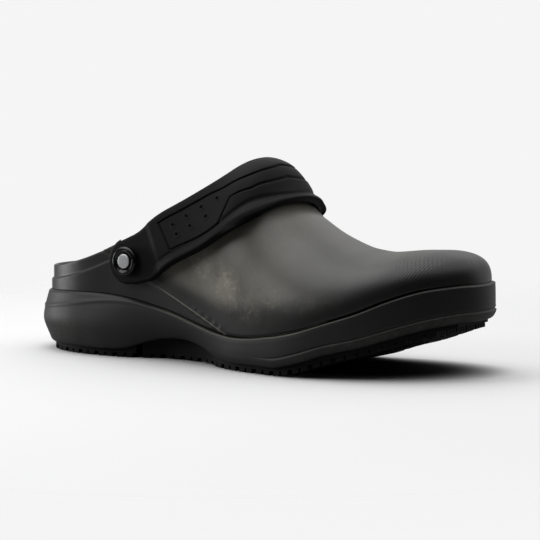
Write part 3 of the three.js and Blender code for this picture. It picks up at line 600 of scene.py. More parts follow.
# %% [markdown]
# ## The upper
# The upper is one thick wall: an outer skin, a rounded rim at the collar and an inner skin. It is made
# as two halves that meet on the ridge. Each half is a grid of stations along the foot; a station runs
# up the outside, over the rim and down the inside. In front of the collar there is no rim, and the two
# halves join both outside and inside. The set-back band and the standing vamp are steps in the wall.

# %% Steps of the upper's wall
STEP_TOP = np.array([0.318 * LENGTH, 0.13 * INSTEP_RISE])
STEP_FOOT = np.array([0.425 * LENGTH, -0.02 * INSTEP_RISE])
STEP_WIDTH = 1.6


def ahead_of_step(points):
    """Signed distance in side view from the slanting line where the vamp begins, forwards positive."""
    line = unit(STEP_FOOT - STEP_TOP)
    x = points[..., 0] - STEP_TOP[0]
    z = points[..., 2] - (top_edge(0.0) + SEAT) - STEP_TOP[1]
    return z * line[0] - x * line[1]


def vamp_relief(points):
    """The vamp's height over the quarter: a smooth step, with a small groove in front of it."""
    ahead = ahead_of_step(points)
    return VAMP_STEP * ease(-STEP_WIDTH / 2, STEP_WIDTH / 2, ahead) - 0.5 * bell(ahead - 1.9, 1.0)


def band_share(travel):
    """How much of the band's step is there: all of it at the heel, none beside the instep."""
    return 1 - ease(0.62, 0.74, share_at(travel) / COLLAR_SHARE)


# %% The painted highlight on the vamp's edge
# The rounded edge of the standing vamp catches the light as one thin line, and that highlight is painted
# into the colour as a pale line. The same distance from the slanting line is worked out in the material,
# from the object's coordinates.
PAINTED_HIGHLIGHT_COLOUR, LINE_HALF, LINE_AHEAD = (0.2, 0.19, 0.165, 1), 0.45, 0.7
LINE_FULL, LINE_GONE = 0.038, 0.046
across_line = unit(STEP_FOOT - STEP_TOP)
place = upper_tree.nodes.new("ShaderNodeTexCoord").outputs["Object"]
split = upper_tree.nodes.new("ShaderNodeSeparateXYZ")
upper_tree.links.new(place, split.inputs[0])
line_height = top_edge(0.0) + SEAT + STEP_TOP[1] + PLACE[2]
at_zero = float(-(STEP_TOP[0] + PLACE[0]) * -across_line[1] - line_height * across_line[0])
slope_x, slope_z = float(-across_line[1] / MM), float(across_line[0] / MM)
ahead = math_node(upper_tree, "MULTIPLY_ADD", split.outputs[0], slope_x, at_zero - LINE_AHEAD)
ahead = math_node(upper_tree, "MULTIPLY_ADD", split.outputs[2], slope_z, ahead)
off_line = math_node(upper_tree, "ABSOLUTE", ahead)
line = range_node(upper_tree, off_line, 0.4 * LINE_HALF, 1.6 * LINE_HALF, 1.0, 0.0)
low = range_node(upper_tree, split.outputs[2], LINE_FULL, LINE_GONE, 1.0, 0.0)
shown = math_node(upper_tree, "MULTIPLY", low, attribute(upper_tree, "outside"))
line = math_node(upper_tree, "MULTIPLY", line, shown)
plain_colour = upper_shader.inputs["Base Color"].links[0].from_socket
upper_tree.links.new(mix_colour(upper_tree, line, plain_colour, PAINTED_HIGHLIGHT_COLOUR), upper_shader.inputs["Base Color"])
print("line", 2 * LINE_HALF, "mm wide")

# %% The upper's stations
REAR, FRONT = 150, 110
SKIN_COLUMNS, BAND_COLUMNS, RIM_COLUMNS, INNER_COLUMNS = 46, 14, 9, 34
RIM_ROUND = 0.3
rear = travel_at(COLLAR_SHARE * share_at(np.linspace(0, 1, REAR + 1)))
front = mix(COLLAR_TRAVEL, 1, np.sin(np.pi / 2 * np.linspace(0, 1, FRONT + 1)))[1:]
stations = np.concatenate([rear, front])
is_front = stations > COLLAR_TRAVEL + 1e-9
last = np.where(is_front, np.pi / 2, turn_at_height(stations, collar_height(stations)))
last[REAR] = np.pi / 2
band_turn = turn_at_height(stations, collar_height(stations) - BAND_HEIGHT)
in_front = ease(0, 0.3, (stations - COLLAR_TRAVEL) / (1 - COLLAR_TRAVEL))
band_turn = np.where(is_front, mix(band_turn[REAR], 0.94 * np.pi / 2, in_front), band_turn)
low = even_turns(stations, band_turn, np.tile(np.linspace(0, 1, SKIN_COLUMNS), (len(stations), 1)))
STEP_SPAN = 0.09
near_step = np.linspace(-STEP_SPAN, STEP_SPAN, 7)
above = np.linspace(STEP_SPAN, 1, BAND_COLUMNS)[1:]
high = band_turn[:, None] + (last - band_turn)[:, None] * np.concatenate([near_step, above])
cut = low[:, -1:] - STEP_SPAN * (last - band_turn)[:, None]
low = low * (cut / np.maximum(low[:, -1:], 1e-9))
turns = np.concatenate([low[:, :-1], high], 1)
print("stations", len(stations), "columns", turns.shape[1])


CALM_REACH, CALM_SPREAD = 0.045, 0.022


def calmed(travel, turn):
    """How far the vamp's side moves when the hollows beside the instep are evened out: each point is
    averaged with its neighbours along the foot, low on the side only."""
    share, up = share_at(travel), np.degrees(np.minimum(turn, np.pi - turn))
    there = ease(0.42, 0.5, share) * (1 - ease(0.68, 0.78, share)) * (1 - ease(52, 76, up))
    offsets = np.linspace(-CALM_REACH, CALM_REACH, 11)
    weights = np.exp(-0.5 * (offsets / CALM_SPREAD) ** 2)
    total = sum(w * form(np.clip(travel + d, 0, 1), turn) for w, d in zip(weights, offsets))
    return (total / weights.sum() - form(travel, turn)) * there[..., None]


def upper_half(side):
    """Rings of one half: outer skin, rim and inner skin. side is -1 outside, 1 inside."""
    travel = stations[:, None]
    turned = turns if side < 0 else np.pi - turns
    plain = form(travel, turned)
    across = (turns - band_turn[:, None]) / np.maximum(last - band_turn, 1e-6)[:, None]
    step = ease(-STEP_SPAN, STEP_SPAN, across) * band_share(travel) * ~is_front[:, None]
    outer = skin(travel, turned, vamp_relief(plain) - BAND_STEP * step) + calmed(travel, turned)
    inner_turns = even_turns(stations, last, np.tile(np.linspace(1, 0, INNER_COLUMNS), (len(stations), 1)))
    inner = skin(travel, inner_turns if side < 0 else np.pi - inner_turns, np.full(inner_turns.shape, -WALL))
    along = unit(np.gradient(outer[:, -1], axis=0))
    along[REAR:] = [0, -side, 0]
    normal = form_normal(stations, turned[:, -1])
    away = np.cross(normal, along) * -side
    a = np.linspace(0, np.pi, RIM_COLUMNS + 2)[1:-1]
    rim = []
    for angle in a:
        half = (outer[:, -1] - inner[:, 0]) / 2
        reach = np.sign(math.cos(angle)) * abs(math.cos(angle)) ** 0.8
        lift_off = RIM_ROUND * WALL * math.sin(angle) ** 0.8
        rim.append((outer[:, -1] + inner[:, 0]) / 2 + half * reach + away * lift_off)
    rings = np.concatenate([outer, np.stack(rim, 1), inner], 1)
    length = np.concatenate([np.zeros((len(stations), 1)),
                             np.cumsum(np.linalg.norm(np.diff(rings, axis=1), axis=-1), 1)], 1)
    uv = np.stack([rings[..., 0], length * -side], -1)
    return rings, uv


# %% Faces of the upper
quads, points, maps = [], [], []
for side in (-1, 1):
    rings, uv = upper_half(side)
    size = rings.shape[1]
    squares = grid_faces(len(stations), size, sum(len(p) for p in points))
    rim_first = turns.shape[1] - 1
    keep = np.ones(squares.shape[:2], bool)
    keep[REAR:, rim_first:rim_first + RIM_COLUMNS + 1] = False
    squares = squares[keep]
    quads.append(squares if side < 0 else squares[:, ::-1])
    points.append(rings.reshape(-1, 3))
    maps.append(uv.reshape(-1, 2))
points = np.concatenate(points)
print("upper", len(points), "points before merging")

# %% Where the upper is rubbed, where it is knurled, and where its sheen is painted
x, y, z = points.T
knurled = ease(0.84, 0.885, x / LENGTH) * ease(6, 14, z - top_edge(travel_at(x / LENGTH)))
knurled *= 1 - 0.75 * ease(0.92, 0.96, x / LENGTH)
outer_side = 1 - ease(-14, 8, y)
over_sole = z - top_edge(travel_at(x / LENGTH)) - SEAT
# The painted sheen, a pale highlight painted into the colour, covers the vamp from its step forwards
# and from some way over the sole upwards, thinner towards the toe.
painted_sheen_low = over_sole - 2 * ease(0.78, 0.93, x / LENGTH)
painted_sheen = mix(1.0, 0.13, ease(150, 225, x)) * ease(2, 14, ahead_of_step(points)) * ease(12, 23, painted_sheen_low)
on_outer_skin = np.tile(np.arange(size) < turns.shape[1], 2 * len(stations))
painted_sheen = painted_sheen * on_outer_skin
# The rubbed streak lies in front of the strap's lower edge and slants down towards the toe.
STREAK_X, STREAK_Z, STREAK_LONG, STREAK_WIDE = 147, 52, 27, 9.5
streak = unit(np.array([37.0, -20.0]))
down = (x - STREAK_X) * streak[0] + (z - STREAK_Z) * streak[1]
beside = (z - STREAK_Z) * streak[0] - (x - STREAK_X) * streak[1]
rubbed = np.exp(-(down / STREAK_LONG) ** 2 - (beside / STREAK_WIDE) ** 2) * outer_side
rubbed = np.maximum(rubbed, 0.3 * np.exp(-((x - 188) / 26) ** 2 - ((z - 42) / 5) ** 2) * outer_side)
upper = make_piece("foam_upper", points, np.concatenate(quads), uv=np.concatenate(maps),
                   attributes={"knurled": knurled, "scuffed": rubbed, "painted_sheen": painted_sheen,
                               "outside": outer_side * on_outer_skin})
stand_for(upper, "upper", upper_foam)

# %% [markdown]
# ## The sole
# The midsole is one foam block. Its side is a profile that changes along the foot: it swells at the
# heel, is scooped out under the arch and stands nearly upright round the toe. The profile is a grid of
# levels between the lower and the top edge. Finer forms are added to it: the rounded edges, the crest
# that runs forward from the heel's sloping facet, and the groove that marks off the toe's lower band.

# %% The midsole's side
profile = {key: smooth_curve(SIDEWALL["level"], SIDEWALL[key]) for key in ("heel", "waist", "ball", "toe")}


def side_out(level, travel):
    """How far the side stands out at a level: the heel's, waist's, ball's and toe's profiles, mixed."""
    share = share_at(travel)
    ball = mix(profile["waist"](level), profile["ball"](level), ease(0.4, 0.56, share))
    forward = mix(ball, profile["toe"](level), ease(0.8, 0.95, share)) * EDGE_PROUD
    return mix(profile["heel"](level) * HEEL_BULGE, forward, ease(0.2, 0.36, share))


def side_detail(level, travel):
    """Fine forms of the side: crest, toe groove and the rounding of both edges."""
    share = share_at(travel)
    tall = top_edge(travel) - lower_edge(travel)
    crest = mix(0.7, 0.93, ease(0.02, 0.3, share))
    out = 0.45 * bell((level - crest) * tall, 1.5) * (1 - ease(0.36, 0.46, share))
    over = level * tall
    toe = ease(0.6, 0.7, share)
    out = out - 0.7 * toe * bell(over - 5.4, 0.8) + 0.35 * toe * (1 - ease(4.4, 5.4, over))
    out = out - 0.8 * (1 - ease(0, 1.3, over)) ** 2
    return out - 0.7 * (1 - ease(0, 0.9, (1 - level) * tall)) ** 2


def inner_foot(travel, side, extra, height):
    """Edge of the upper's inner wall at its foot, at a height."""
    turn = 0.0 if side < 0 else np.pi
    point = skin(travel, np.full(np.shape(travel), turn), np.full(np.shape(travel), -WALL - extra))
    point[..., 2] = height
    return point


def bed_across(travel, extra, rise, shares):
    """Footbed between its two edges, dished in the middle by a parabola's share of its dish."""
    height = footbed(travel) + rise
    left, right = (inner_foot(travel, side, extra, height) for side in (-1, 1))
    width = np.linalg.norm(left - right, axis=-1)
    narrow = np.minimum(1, width / (BALL_WIDTH * 0.3))
    bed = left[:, None] + (right - left)[:, None] * shares[:, None]
    bed[..., 2] -= FOOTBED_DISH * narrow[:, None] * np.clip(1 - (2 * shares - 1) ** 4, 0, 1)
    return bed


SOLE_ROWS = 300
sole_travel = np.linspace(0, 1, SOLE_ROWS + 1)
levels = np.unique(np.concatenate([
    np.linspace(0, 0.08, 6), np.linspace(0.08, 0.93, 34), np.linspace(0.93, 1, 7)]))


def side_points(side):
    """Grid of the midsole's side, from its lower to its top edge."""
    t, level = np.meshgrid(sole_travel, levels, indexing="ij")
    point = edge_point(t, side, side_out(level, t) + side_detail(level, t))
    there = travel_at(point[..., 0] / LENGTH)
    point[..., 2] = mix(lower_edge(there), top_edge(there), level)
    return point


across = np.linspace(0, 1, 15)[1:-1]
outer, inner = side_points(-1), side_points(1)
rim = [inner_foot(sole_travel, -1, 0, top_edge(sole_travel))[:, None],
       inner_foot(sole_travel, -1, 0, footbed(sole_travel))[:, None],
       bed_across(sole_travel, 0, 0, across),
       inner_foot(sole_travel, 1, 0, footbed(sole_travel))[:, None],
       inner_foot(sole_travel, 1, 0, top_edge(sole_travel))[:, None]]
under = mix(inner[:, :1], outer[:, :1], np.linspace(0, 1, 9)[1:-1][None, :, None])
rings = np.concatenate([outer, *rim, inner[:, ::-1], under], 1)
x, y, z = np.moveaxis(rings, -1, 0)
# Masks: the heel and the ball's lower band get pale speckles, a pale line along the top ledge outside is
# a painted highlight, and painted shade darkens the foam towards the toe.
over_tread = z - tread_height(travel_at(x / LENGTH))
pale_specks = 0.6 * bell(x - 30, 40) * bell(z - 15, 14) + 0.5 * ease(0.55, 0.8, x / LENGTH) * bell(over_tread - 7, 6)
painted_ledge_highlight = 0.55 * bell(z - top_edge(travel_at(x / LENGTH)) + 0.6, 0.8) * (y < 0) * ease(90, 120, x)
painted_toe_shade = 0.65 * ease(0.62, 0.95, x / LENGTH) + 0 * z
midsole = make_piece("foam_midsole", rings, grid_faces(*rings.shape[:2]),
                     attributes={"scuffed": pale_specks, "painted_sheen": painted_ledge_highlight, "painted_shade": painted_toe_shade})
stand_for(midsole, "midsole", sole_foam)

# %% [markdown]
# ## The treads
# Kitchen floors are wet and greasy, so the treads are cut into many small blocks. The solids have the
# main lugs, and here each main lug is split into smaller blocks by narrow cuts. All blocks are worked
# out at once, as arrays of eight corners each, on the same plan as the lugs.

# %% Plates and blocks
BLOCK_CORNERS = np.array([(0, 0, 0), (1, 0, 0), (1, 1, 0), (0, 1, 0),
                          (0, 0, 1), (1, 0, 1), (1, 1, 1), (0, 1, 1)])
BLOCK_FACES = np.array([(0, 3, 2, 1), (4, 5, 6, 7), (0, 1, 5, 4), (1, 2, 6, 5), (2, 3, 7, 6), (3, 0, 4, 7)])
SPLIT_ALONG, SPLIT_ACROSS, SIPE = 2, 4, 1.3
WAIST_INSET, WAIST_LIFT = 4, 1


def waist_part(travel):
    """Share of the waist: 1 under the arch, 0 at the heel and the ball."""
    share = share_at(travel)
    return ease(0.27, 0.34, share) * (1 - ease(0.44, 0.51, share))


def tread_side(travel, side):
    """Edge of a tread, set in from the midsole's lower edge, and further in under the arch."""
    inset = TREAD_INSET + WAIST_INSET * waist_part(travel)
    return edge_point(travel, side, side_out(np.zeros(np.shape(travel)), travel) - inset)


def lug_foot(travel):
    """Height of the lugs' feet: the tread line, a little over it under the arch."""
    return tread_height(travel) + WAIST_LIFT * waist_part(travel)


def tread_point(travel, part, height_at):
    """Point a share across the tread, at the height that the side view gives at its place."""
    edges = [tread_side(travel, side) for side in (-1, 1)]
    for edge in edges:
        edge[..., 2] = height_at(travel_at(edge[..., 0] / LENGTH))
    return mix(edges[0], edges[1], part[..., None])


def plate_rings(start, end):
    """Closed rings of a tread's plate, with its two ends drawn together."""
    t = mix(travel_at(start), travel_at(end), np.linspace(0, 1, 91))
    shares = np.linspace(0, 1, 9)
    bottom = tread_point(t[:, None], np.tile(shares, (91, 1)), lambda p: tread_height(p) + TREAD - TREAD_PLATE)
    top = tread_point(t[:, None], np.tile(shares[::-1], (91, 1)), lambda p: lower_edge(p) - SEAT)
    return np.concatenate([bottom, top], 1)


def blocks(start, end):
    """Corners of all blocks of a tread: rows of lugs along, split in two, and columns split in four."""
    rows = int(((end - start) * LENGTH + LUG_GAP) // LUG_PITCH)
    lug = LUG_PITCH - LUG_GAP
    piece = (lug - SIPE * (SPLIT_ALONG - 1)) / SPLIT_ALONG
    counts = (rows, SPLIT_ALONG, LUG_COLUMNS, SPLIT_ACROSS)
    r, i, c, j = (a.ravel() for a in np.meshgrid(*map(np.arange, counts), indexing="ij"))
    x0 = start * LENGTH + r * LUG_PITCH + i * (piece + SIPE)
    gap = LUG_GAP / BALL_WIDTH
    left = c / LUG_COLUMNS + np.where(c > 0, gap / 2, 0)
    right = (c + 1) / LUG_COLUMNS - np.where(c < LUG_COLUMNS - 1, gap / 2, 0)
    sipe = SIPE / BALL_WIDTH
    cell = (right - left + sipe) / SPLIT_ACROSS
    p0 = left + j * cell
    p1 = p0 + cell - sipe
    a, b, up = BLOCK_CORNERS.T
    t = travel_at(mix(x0[:, None], x0[:, None] + piece, a) / LENGTH)
    part = mix(p0[:, None], p1[:, None], b)
    low_point = tread_point(t, part, lug_foot)
    high_point = tread_point(t, part, lambda p: tread_height(p) + TREAD - TREAD_PLATE / 2)
    return mix(low_point, high_point, up[None, :, None])


TREADS = (("rubber_heel", "tread_heel", 0.012, 0.28), ("rubber_ball", "tread_ball", 0.292, 0.985))
for name, node, start, end in TREADS:
    rings = plate_rings(start, end)
    size = rings.shape[1]
    corners = blocks(start, end)
    first = rings.shape[0] * size
    faces = BLOCK_FACES[None] + 8 * np.arange(len(corners))[:, None, None] + first
    ends = [fan(range(size)), fan(range(first - size, first), flip=True)]
    both = np.concatenate([rings.reshape(-1, 3), corners.reshape(-1, 3)])
    quads = np.concatenate([grid_faces(*rings.shape[:2]).reshape(-1, 4), faces.reshape(-1, 4)[:, ::-1]])
    tread = make_piece(name, both, quads, caps=ends, merge=False)
    tread.data.shade_flat()
    stand_for(tread, node, tread_rubber)
    print(len(corners), "blocks")

# %% [markdown]
# ## The footbed
# The loose footbed is a foam pad under a knitted cover. It lies in the midsole's cup, and only a view
# from above shows it. Its top follows the cup's dish and its edge is rounded.

# %% Footbed
pad_travel = np.linspace(0, 1, 161)
across = np.linspace(0, 1, 25)[1:-1]
sides = []
for side in (-1, 1):
    levels_up = [(0.0, SEAT), (0.0, SEAT + INSOLE - 1.2), (0.35, SEAT + INSOLE - 0.4), (1.2, SEAT + INSOLE)]
    sides.append([inner_foot(pad_travel, side, INSOLE_CLEARANCE + inset, footbed(pad_travel) + rise)[:, None]
                  for inset, rise in levels_up])
rings = np.concatenate([*sides[0], bed_across(pad_travel, INSOLE_CLEARANCE + 1.2, SEAT + INSOLE, across),
                        *sides[1][::-1], bed_across(pad_travel, INSOLE_CLEARANCE, SEAT, across)[:, ::-1]], 1)
insole = make_piece("footbed_pad", rings, grid_faces(*rings.shape[:2]))
stand_for(insole, "insole", footbed_cloth)

# %% [markdown]
# ## The strap
# The strap is a moulded band that is swung forward over the instep. It is thin round the rivet and
# thicker from a shoulder on. Its face has a sunken panel that runs over the top, edged by a fine groove,
# with seven dimples on each side, and its lower edge is rolled outwards, clear of the vamp. One section
# function gives all this, as a height over the last for each place along and across the band. The groove
# and the dimples are also painted dark, as painted shade.

# %% The strap's face
STRAP_BASE = VAMP_STEP + STRAP_GAP
NECK_STEP = 0.9
PANEL_SUNK, GROOVE_DEPTH = 0.3, 1.1
HALF_STRAP = 112
strap_path = {key: smooth_curve(STRAP_PATH["along"], STRAP_PATH[key]) for key in STRAP_PATH if key != "along"}
PANEL_LINE = table("along across", [
    (0, 0.75), (0.26, 0.745), (0.6, 0.78), (0.705, 0.565), (0.8, 0.65), (0.9, 0.61), (1, 0.55)])
DIMPLES = table("along across", [(0.345, 0.346), (0.457, 0.315), (0.558, 0.312), (0.654, 0.372),
                                 (0.351, 0.547), (0.457, 0.517), (0.559, 0.522)])


def strap_share(along, across):
    """Place on the last of a point along and across the band, as a share of the length and a turn."""
    share = mix(strap_path["upper"](along), strap_path["lower"](along), across)
    turn = np.radians(mix(strap_path["upper_turn"](along), strap_path["lower_turn"](along), across))
    return travel_at((share * LENGTH - EDGE_PROUD) / (LENGTH - EDGE_PROUD - TOE_PROUD)), turn


def strap_width(along):
    """Width of the band, measured on the last."""
    a = form(*strap_share(along, 0.0))
    return np.linalg.norm(a - form(*strap_share(along, 1.0)), axis=-1)


def strap_panel(along, across):
    """Height of the plain band, its width, and the distance inwards from the sunken panel's edge."""
    width = strap_width(along)
    face = STRAP_BASE + STRAP - NECK_STEP * (1 - ease(0.15, 0.19, along))
    foot = np.interp(along, PANEL_LINE["along"], PANEL_LINE["across"])
    reach = np.interp(along + 0.01, PANEL_LINE["along"], PANEL_LINE["across"]) - foot
    steep = np.sqrt(1 + (reach / 0.01 * width / HALF_STRAP) ** 2)
    from_top = (across - strap_path["groove"](along)) * width
    from_foot = (foot - across) * width / steep
    from_end = (along - PANEL_START - 0.04 * across) * HALF_STRAP
    inside = np.minimum(np.minimum(from_top, from_foot), from_end)
    return face, width, inside


def strap_groove_shade(along, across):
    """1 in the panel's groove and in the dimples, 0 elsewhere: a mask of painted shade for the darkness down
    there.
    """
    face, width, inside = strap_panel(along, across)
    deep = bell(inside, 0.8)
    for a, c in zip(DIMPLES["along"], DIMPLES["across"]):
        deep = np.maximum(deep, bell(np.hypot((along - a) * HALF_STRAP, (across - c) * width), 1.2))
    return deep * (across > 0.05) * (across < 0.95)


def strap_height(along, across):
    """Height of the outer face over the last: the band, its shoulder, panel, grooves, dimples and
    rolled lower edge."""
    face, width, inside = strap_panel(along, across)
    lip = STRAP_LIP * ease(0.1, 0.3, along)
    face = face - PANEL_SUNK * ease(-0.3, 0.3, inside) - GROOVE_DEPTH * bell(inside, 0.62)
    for a, c in zip(DIMPLES["along"], DIMPLES["across"]):
        away = np.hypot((along - a) * HALF_STRAP, (across - c) * width)
        face = face - 1.1 * bell(away, 1.1) + 0.2 * bell(away - 1.7, 0.5)
    face = face + lip * ease(0.8, 0.92, across)
    return face - 0.45 * bell((across - 0.8) * width, 1.6) * ease(0.1, 0.3, along)


# %% The strap's rings
EDGE_ROUND = 1.7
FACE_COLUMNS, UNDER_COLUMNS, EDGE_COLUMNS = 84, 24, 7


def strap_ring(along):
    """Columns of the band's rings, as shares across and heights over the last: the rounded upper edge,
    the face, the rounded lower edge and the underside. along is a column of places."""
    width = strap_width(along)
    lip = STRAP_LIP * ease(0.1, 0.3, along)
    angle = np.linspace(0, np.pi / 2, EDGE_COLUMNS)
    edge = EDGE_ROUND / width * (1 - np.sin(angle))
    drop = 1 - np.sqrt(1 - (1 - np.sin(angle)) ** 2)
    upper_face, lower_face = strap_height(along, 0.05 + 0 * along), strap_height(along, 0.95 + 0 * along)
    under_low = STRAP_BASE + lip * 0.8
    face = np.linspace(0.06, 0.94, FACE_COLUMNS) + 0 * along
    under = np.linspace(0.97, 0.03, UNDER_COLUMNS) + 0 * along
    shares = [edge, face, 1 - edge[:, ::-1], 1 + 0 * along, 1 - 0.4 / width, under, 0 * along]
    heights = [upper_face - (upper_face - STRAP_BASE) * 0.45 * drop, strap_height(along, face),
               (lower_face - (lower_face - under_low) * 0.5 * drop)[:, ::-1], under_low + 0.9, under_low,
               STRAP_BASE + lip * 0.8 * ease(0.86, 1, under), STRAP_BASE + 0.8 + 0 * along]
    return np.concatenate(shares, 1), np.concatenate(heights, 1)


def spread_rows(grid, rows):
    """The grid with each point averaged along its column, over a bell of that many rows, so that the
    springy band bridges the small hollows of the last."""
    reach = 3 * rows
    weights = np.exp(-0.5 * (np.arange(-reach, reach + 1) / rows) ** 2)
    padded = np.concatenate([grid[:1].repeat(reach, 0), grid, grid[-1:].repeat(reach, 0)])
    spread = sum(w * padded[i:i + len(grid)] for i, w in enumerate(weights))
    return spread / weights.sum()


END_ROWS, HALF_ROWS = 18, 240
along = np.linspace(0, 1, HALF_ROWS + 1)[:, None]
cols, heights = strap_ring(along)
travel, turn = strap_share(np.tile(along, (1, cols.shape[1])), cols)
end_cols, end_heights = cols[:1].repeat(END_ROWS, 0), heights[:1].repeat(END_ROWS, 0)
centre = form(*strap_share(0.0, 0.5))
ahead = form(*strap_share(0.1, 0.5)) - centre
ahead = unit(ahead * [1, 0, 1])
upwards = np.array([-ahead[2], 0, ahead[0]])
beyond = STRAP_END * np.cos(np.pi / 2 * np.arange(END_ROWS) / END_ROWS)
half = np.sqrt(np.maximum(0, STRAP_END ** 2 - beyond ** 2))[:, None]
flat = centre - ahead * beyond[:, None, None] + upwards * (half * (1 - 2 * end_cols))[..., None]
end_share = (flat[..., 0] - EDGE_PROUD) / (LENGTH - EDGE_PROUD - TOE_PROUD)
end_travel = travel_at(end_share)
end_turn = turn_at_height(end_travel, flat[..., 2])
travel, turn = np.concatenate([end_travel, travel]), np.concatenate([end_turn, turn])
heights = np.concatenate([end_heights, heights])
base = np.concatenate([form(travel, turn), form(travel, np.pi - turn)[:-1][::-1]])
normal = np.concatenate([form_normal(travel, turn), form_normal(travel, np.pi - turn)[:-1][::-1]])
heights = np.concatenate([heights, heights[:-1][::-1]])
both_along = np.concatenate([np.zeros(END_ROWS), along[:, 0]])
both_along = np.concatenate([both_along, both_along[:-1][::-1]])[:, None, None]
SPREAD_ROWS = 13
calm = ease(0.14, 0.3, both_along)
base = mix(base, spread_rows(base, SPREAD_ROWS), calm)
normal = unit(mix(normal, spread_rows(normal, SPREAD_ROWS), calm))
rings = base + normal * heights[..., None]
size = rings.shape[1]
ends = [fan(range(size), True), fan(range((len(rings) - 1) * size, len(rings) * size))]
# Painted shade: the groove and the dimples are painted nearly black.
groove = strap_groove_shade(along, cols)
groove = np.concatenate([np.zeros((END_ROWS, groove.shape[1])), groove])
groove = np.concatenate([groove, groove[:-1][::-1]]).ravel()
strap = make_piece("foam_strap", rings, grid_faces(*rings.shape[:2]), caps=ends,
                   attributes={"painted_shade": groove, "painted_sheen": 0 * groove, "scuffed": 0 * groove})
stand_for(strap, "strap", strap_foam)

# %% [markdown]
# ## Rivets and discs
# A rivet holds the strap on each side: a glossy black head with a dish and a plain bright disc in it.
# Both are turned shapes: a profile of radius and height, carried round the rivet's axis, which is the
# last's normal at the strap's end.

# %% Turned pieces
def turned(profile, centre, axis, steps=72):
    """Points of a profile (radius, height) carried round an axis; the ends lie on the axis."""
    profile = np.array(profile, float)
    side = unit(np.cross(axis, [0, 0, 1.0]))
    other = np.cross(axis, side)
    a = 2 * np.pi * np.arange(steps) / steps
    circle = np.cos(a)[:, None] * side + np.sin(a)[:, None] * other
    return centre + profile[:, :1, None] * circle[None] + profile[:, 1:, None] * axis


def rounded(radius, height, size, start=0, end=90, steps=6):
    """Quarter of a circle as (radius, height) points, inside a corner at radius and height."""
    a = np.radians(np.linspace(start, end, steps))
    return [(radius - size + size * math.cos(v), height - size + size * math.sin(v)) for v in a]


HEAD_SEAT = STRAP_BASE + STRAP + SEAT - NECK_STEP
FOOT_SEAT = -WALL - SEAT
HEAD_TOP = STRAP_BASE + STRAP + SEAT + RIVET_HEAD
DISH, POST, INNER_END, INNER_THICK = 0.9, 3, 6.5, 1.4
head = [(0, FOOT_SEAT - INNER_THICK), (INNER_END - 0.9, FOOT_SEAT - INNER_THICK), (6.2, FOOT_SEAT - 1.1),
        (INNER_END, FOOT_SEAT - 0.6), (INNER_END, FOOT_SEAT), (POST, FOOT_SEAT), (POST, HEAD_SEAT),
        (RIVET - 0.6, HEAD_SEAT), (RIVET - 0.15, HEAD_SEAT + 0.2), (RIVET, HEAD_SEAT + 0.6),
        *rounded(RIVET, HEAD_TOP, 1.1), (RIVET - 1.7, HEAD_TOP), (RIVET - 2.0, HEAD_TOP - 0.15),
        (RIVET - 2.4, HEAD_TOP - DISH * 0.7), (RIVET - 2.8, HEAD_TOP - DISH * 0.95),
        (RIVET - 3.3, HEAD_TOP - DISH), (0, HEAD_TOP - DISH)]
foot_z = HEAD_TOP - DISH + SEAT
disc = [(0, foot_z), (BADGE - 0.2, foot_z), (BADGE, foot_z + 0.15),
        *rounded(BADGE, foot_z + BADGE_THICK, 0.45), (BADGE - 1.2, foot_z + BADGE_THICK + 0.02),
        (BADGE - 2.2, foot_z + BADGE_THICK + 0.05), (0, foot_z + BADGE_THICK + 0.08)]
for side, label in ((-1, "outer"), (1, "inner")):
    travel, turn = strap_share(0.0, 0.5)
    turn = turn if side < 0 else np.pi - turn
    point, axis = form(travel, turn), form_normal(travel, turn)
    for name, shape, slot, material in (("rivet_head_", head, "rivet_plastic", rivet_plastic),
                                        ("plain_disc_", disc, "badge_metal", badge_metal)):
        rings = turned(shape, point, axis)
        piece = make_piece(name + label, rings, grid_faces(*rings.shape[:2]))
        stand_for(piece, ("rivet_" if slot == "rivet_plastic" else "badge_") + label, material)

# %% [markdown]
# ## Studio
# The photo was taken in a white room: a bright floor and backdrop, soft light from overhead and a
# darker room behind the camera. The backdrop is the world's colour. The floor is a pale sheet that
# fades into it in a circle, so that no edge shows. A painted dark oval deepens the shade under the toe,
# which the lights alone leave too pale. The shoe mirrors a darker floor than the camera sees.

# %% Floor
floor_mesh = bpy.data.meshes.new("studio_floor")
FLOOR = 1.6
floor_corners = [(-FLOOR, -FLOOR, 0), (FLOOR, -FLOOR, 0), (FLOOR, FLOOR, 0), (-FLOOR, FLOOR, 0)]
floor_mesh.from_pydata(floor_corners, [], [(0, 1, 2, 3)])
floor = bpy.data.objects.new("studio_floor", floor_mesh)
bpy.context.scene.collection.objects.link(floor)
pale = bpy.data.materials.new("pale floor")
pale.use_nodes = True
tree = pale.node_tree
tree.nodes.clear()
out = tree.nodes.new("ShaderNodeOutputMaterial")
where = tree.nodes.new("ShaderNodeTexCoord")
distance = tree.nodes.new("ShaderNodeVectorMath")
distance.operation = "LENGTH"
tree.links.new(where.outputs["Object"], distance.inputs[0])
diffuse = tree.nodes.new("ShaderNodeBsdfDiffuse")
seen = tree.nodes.new("ShaderNodeLightPath").outputs["Is Camera Ray"]
FLOOR_SEEN, FLOOR_MIRRORED = (0.92, 0.92, 0.925, 1), (0.3, 0.3, 0.3, 1)
floor_colour = mix_colour(tree, seen, FLOOR_MIRRORED, FLOOR_SEEN)
SHADE_PLACE, SHADE_ANGLE = (0.072, 0.008), math.radians(21)
SHADE_LONG, SHADE_WIDE = 0.085, 0.05
split = tree.nodes.new("ShaderNodeSeparateXYZ")
tree.links.new(where.outputs["Object"], split.inputs[0])
x = math_node(tree, "SUBTRACT", split.outputs[0], SHADE_PLACE[0])
y = math_node(tree, "SUBTRACT", split.outputs[1], SHADE_PLACE[1])
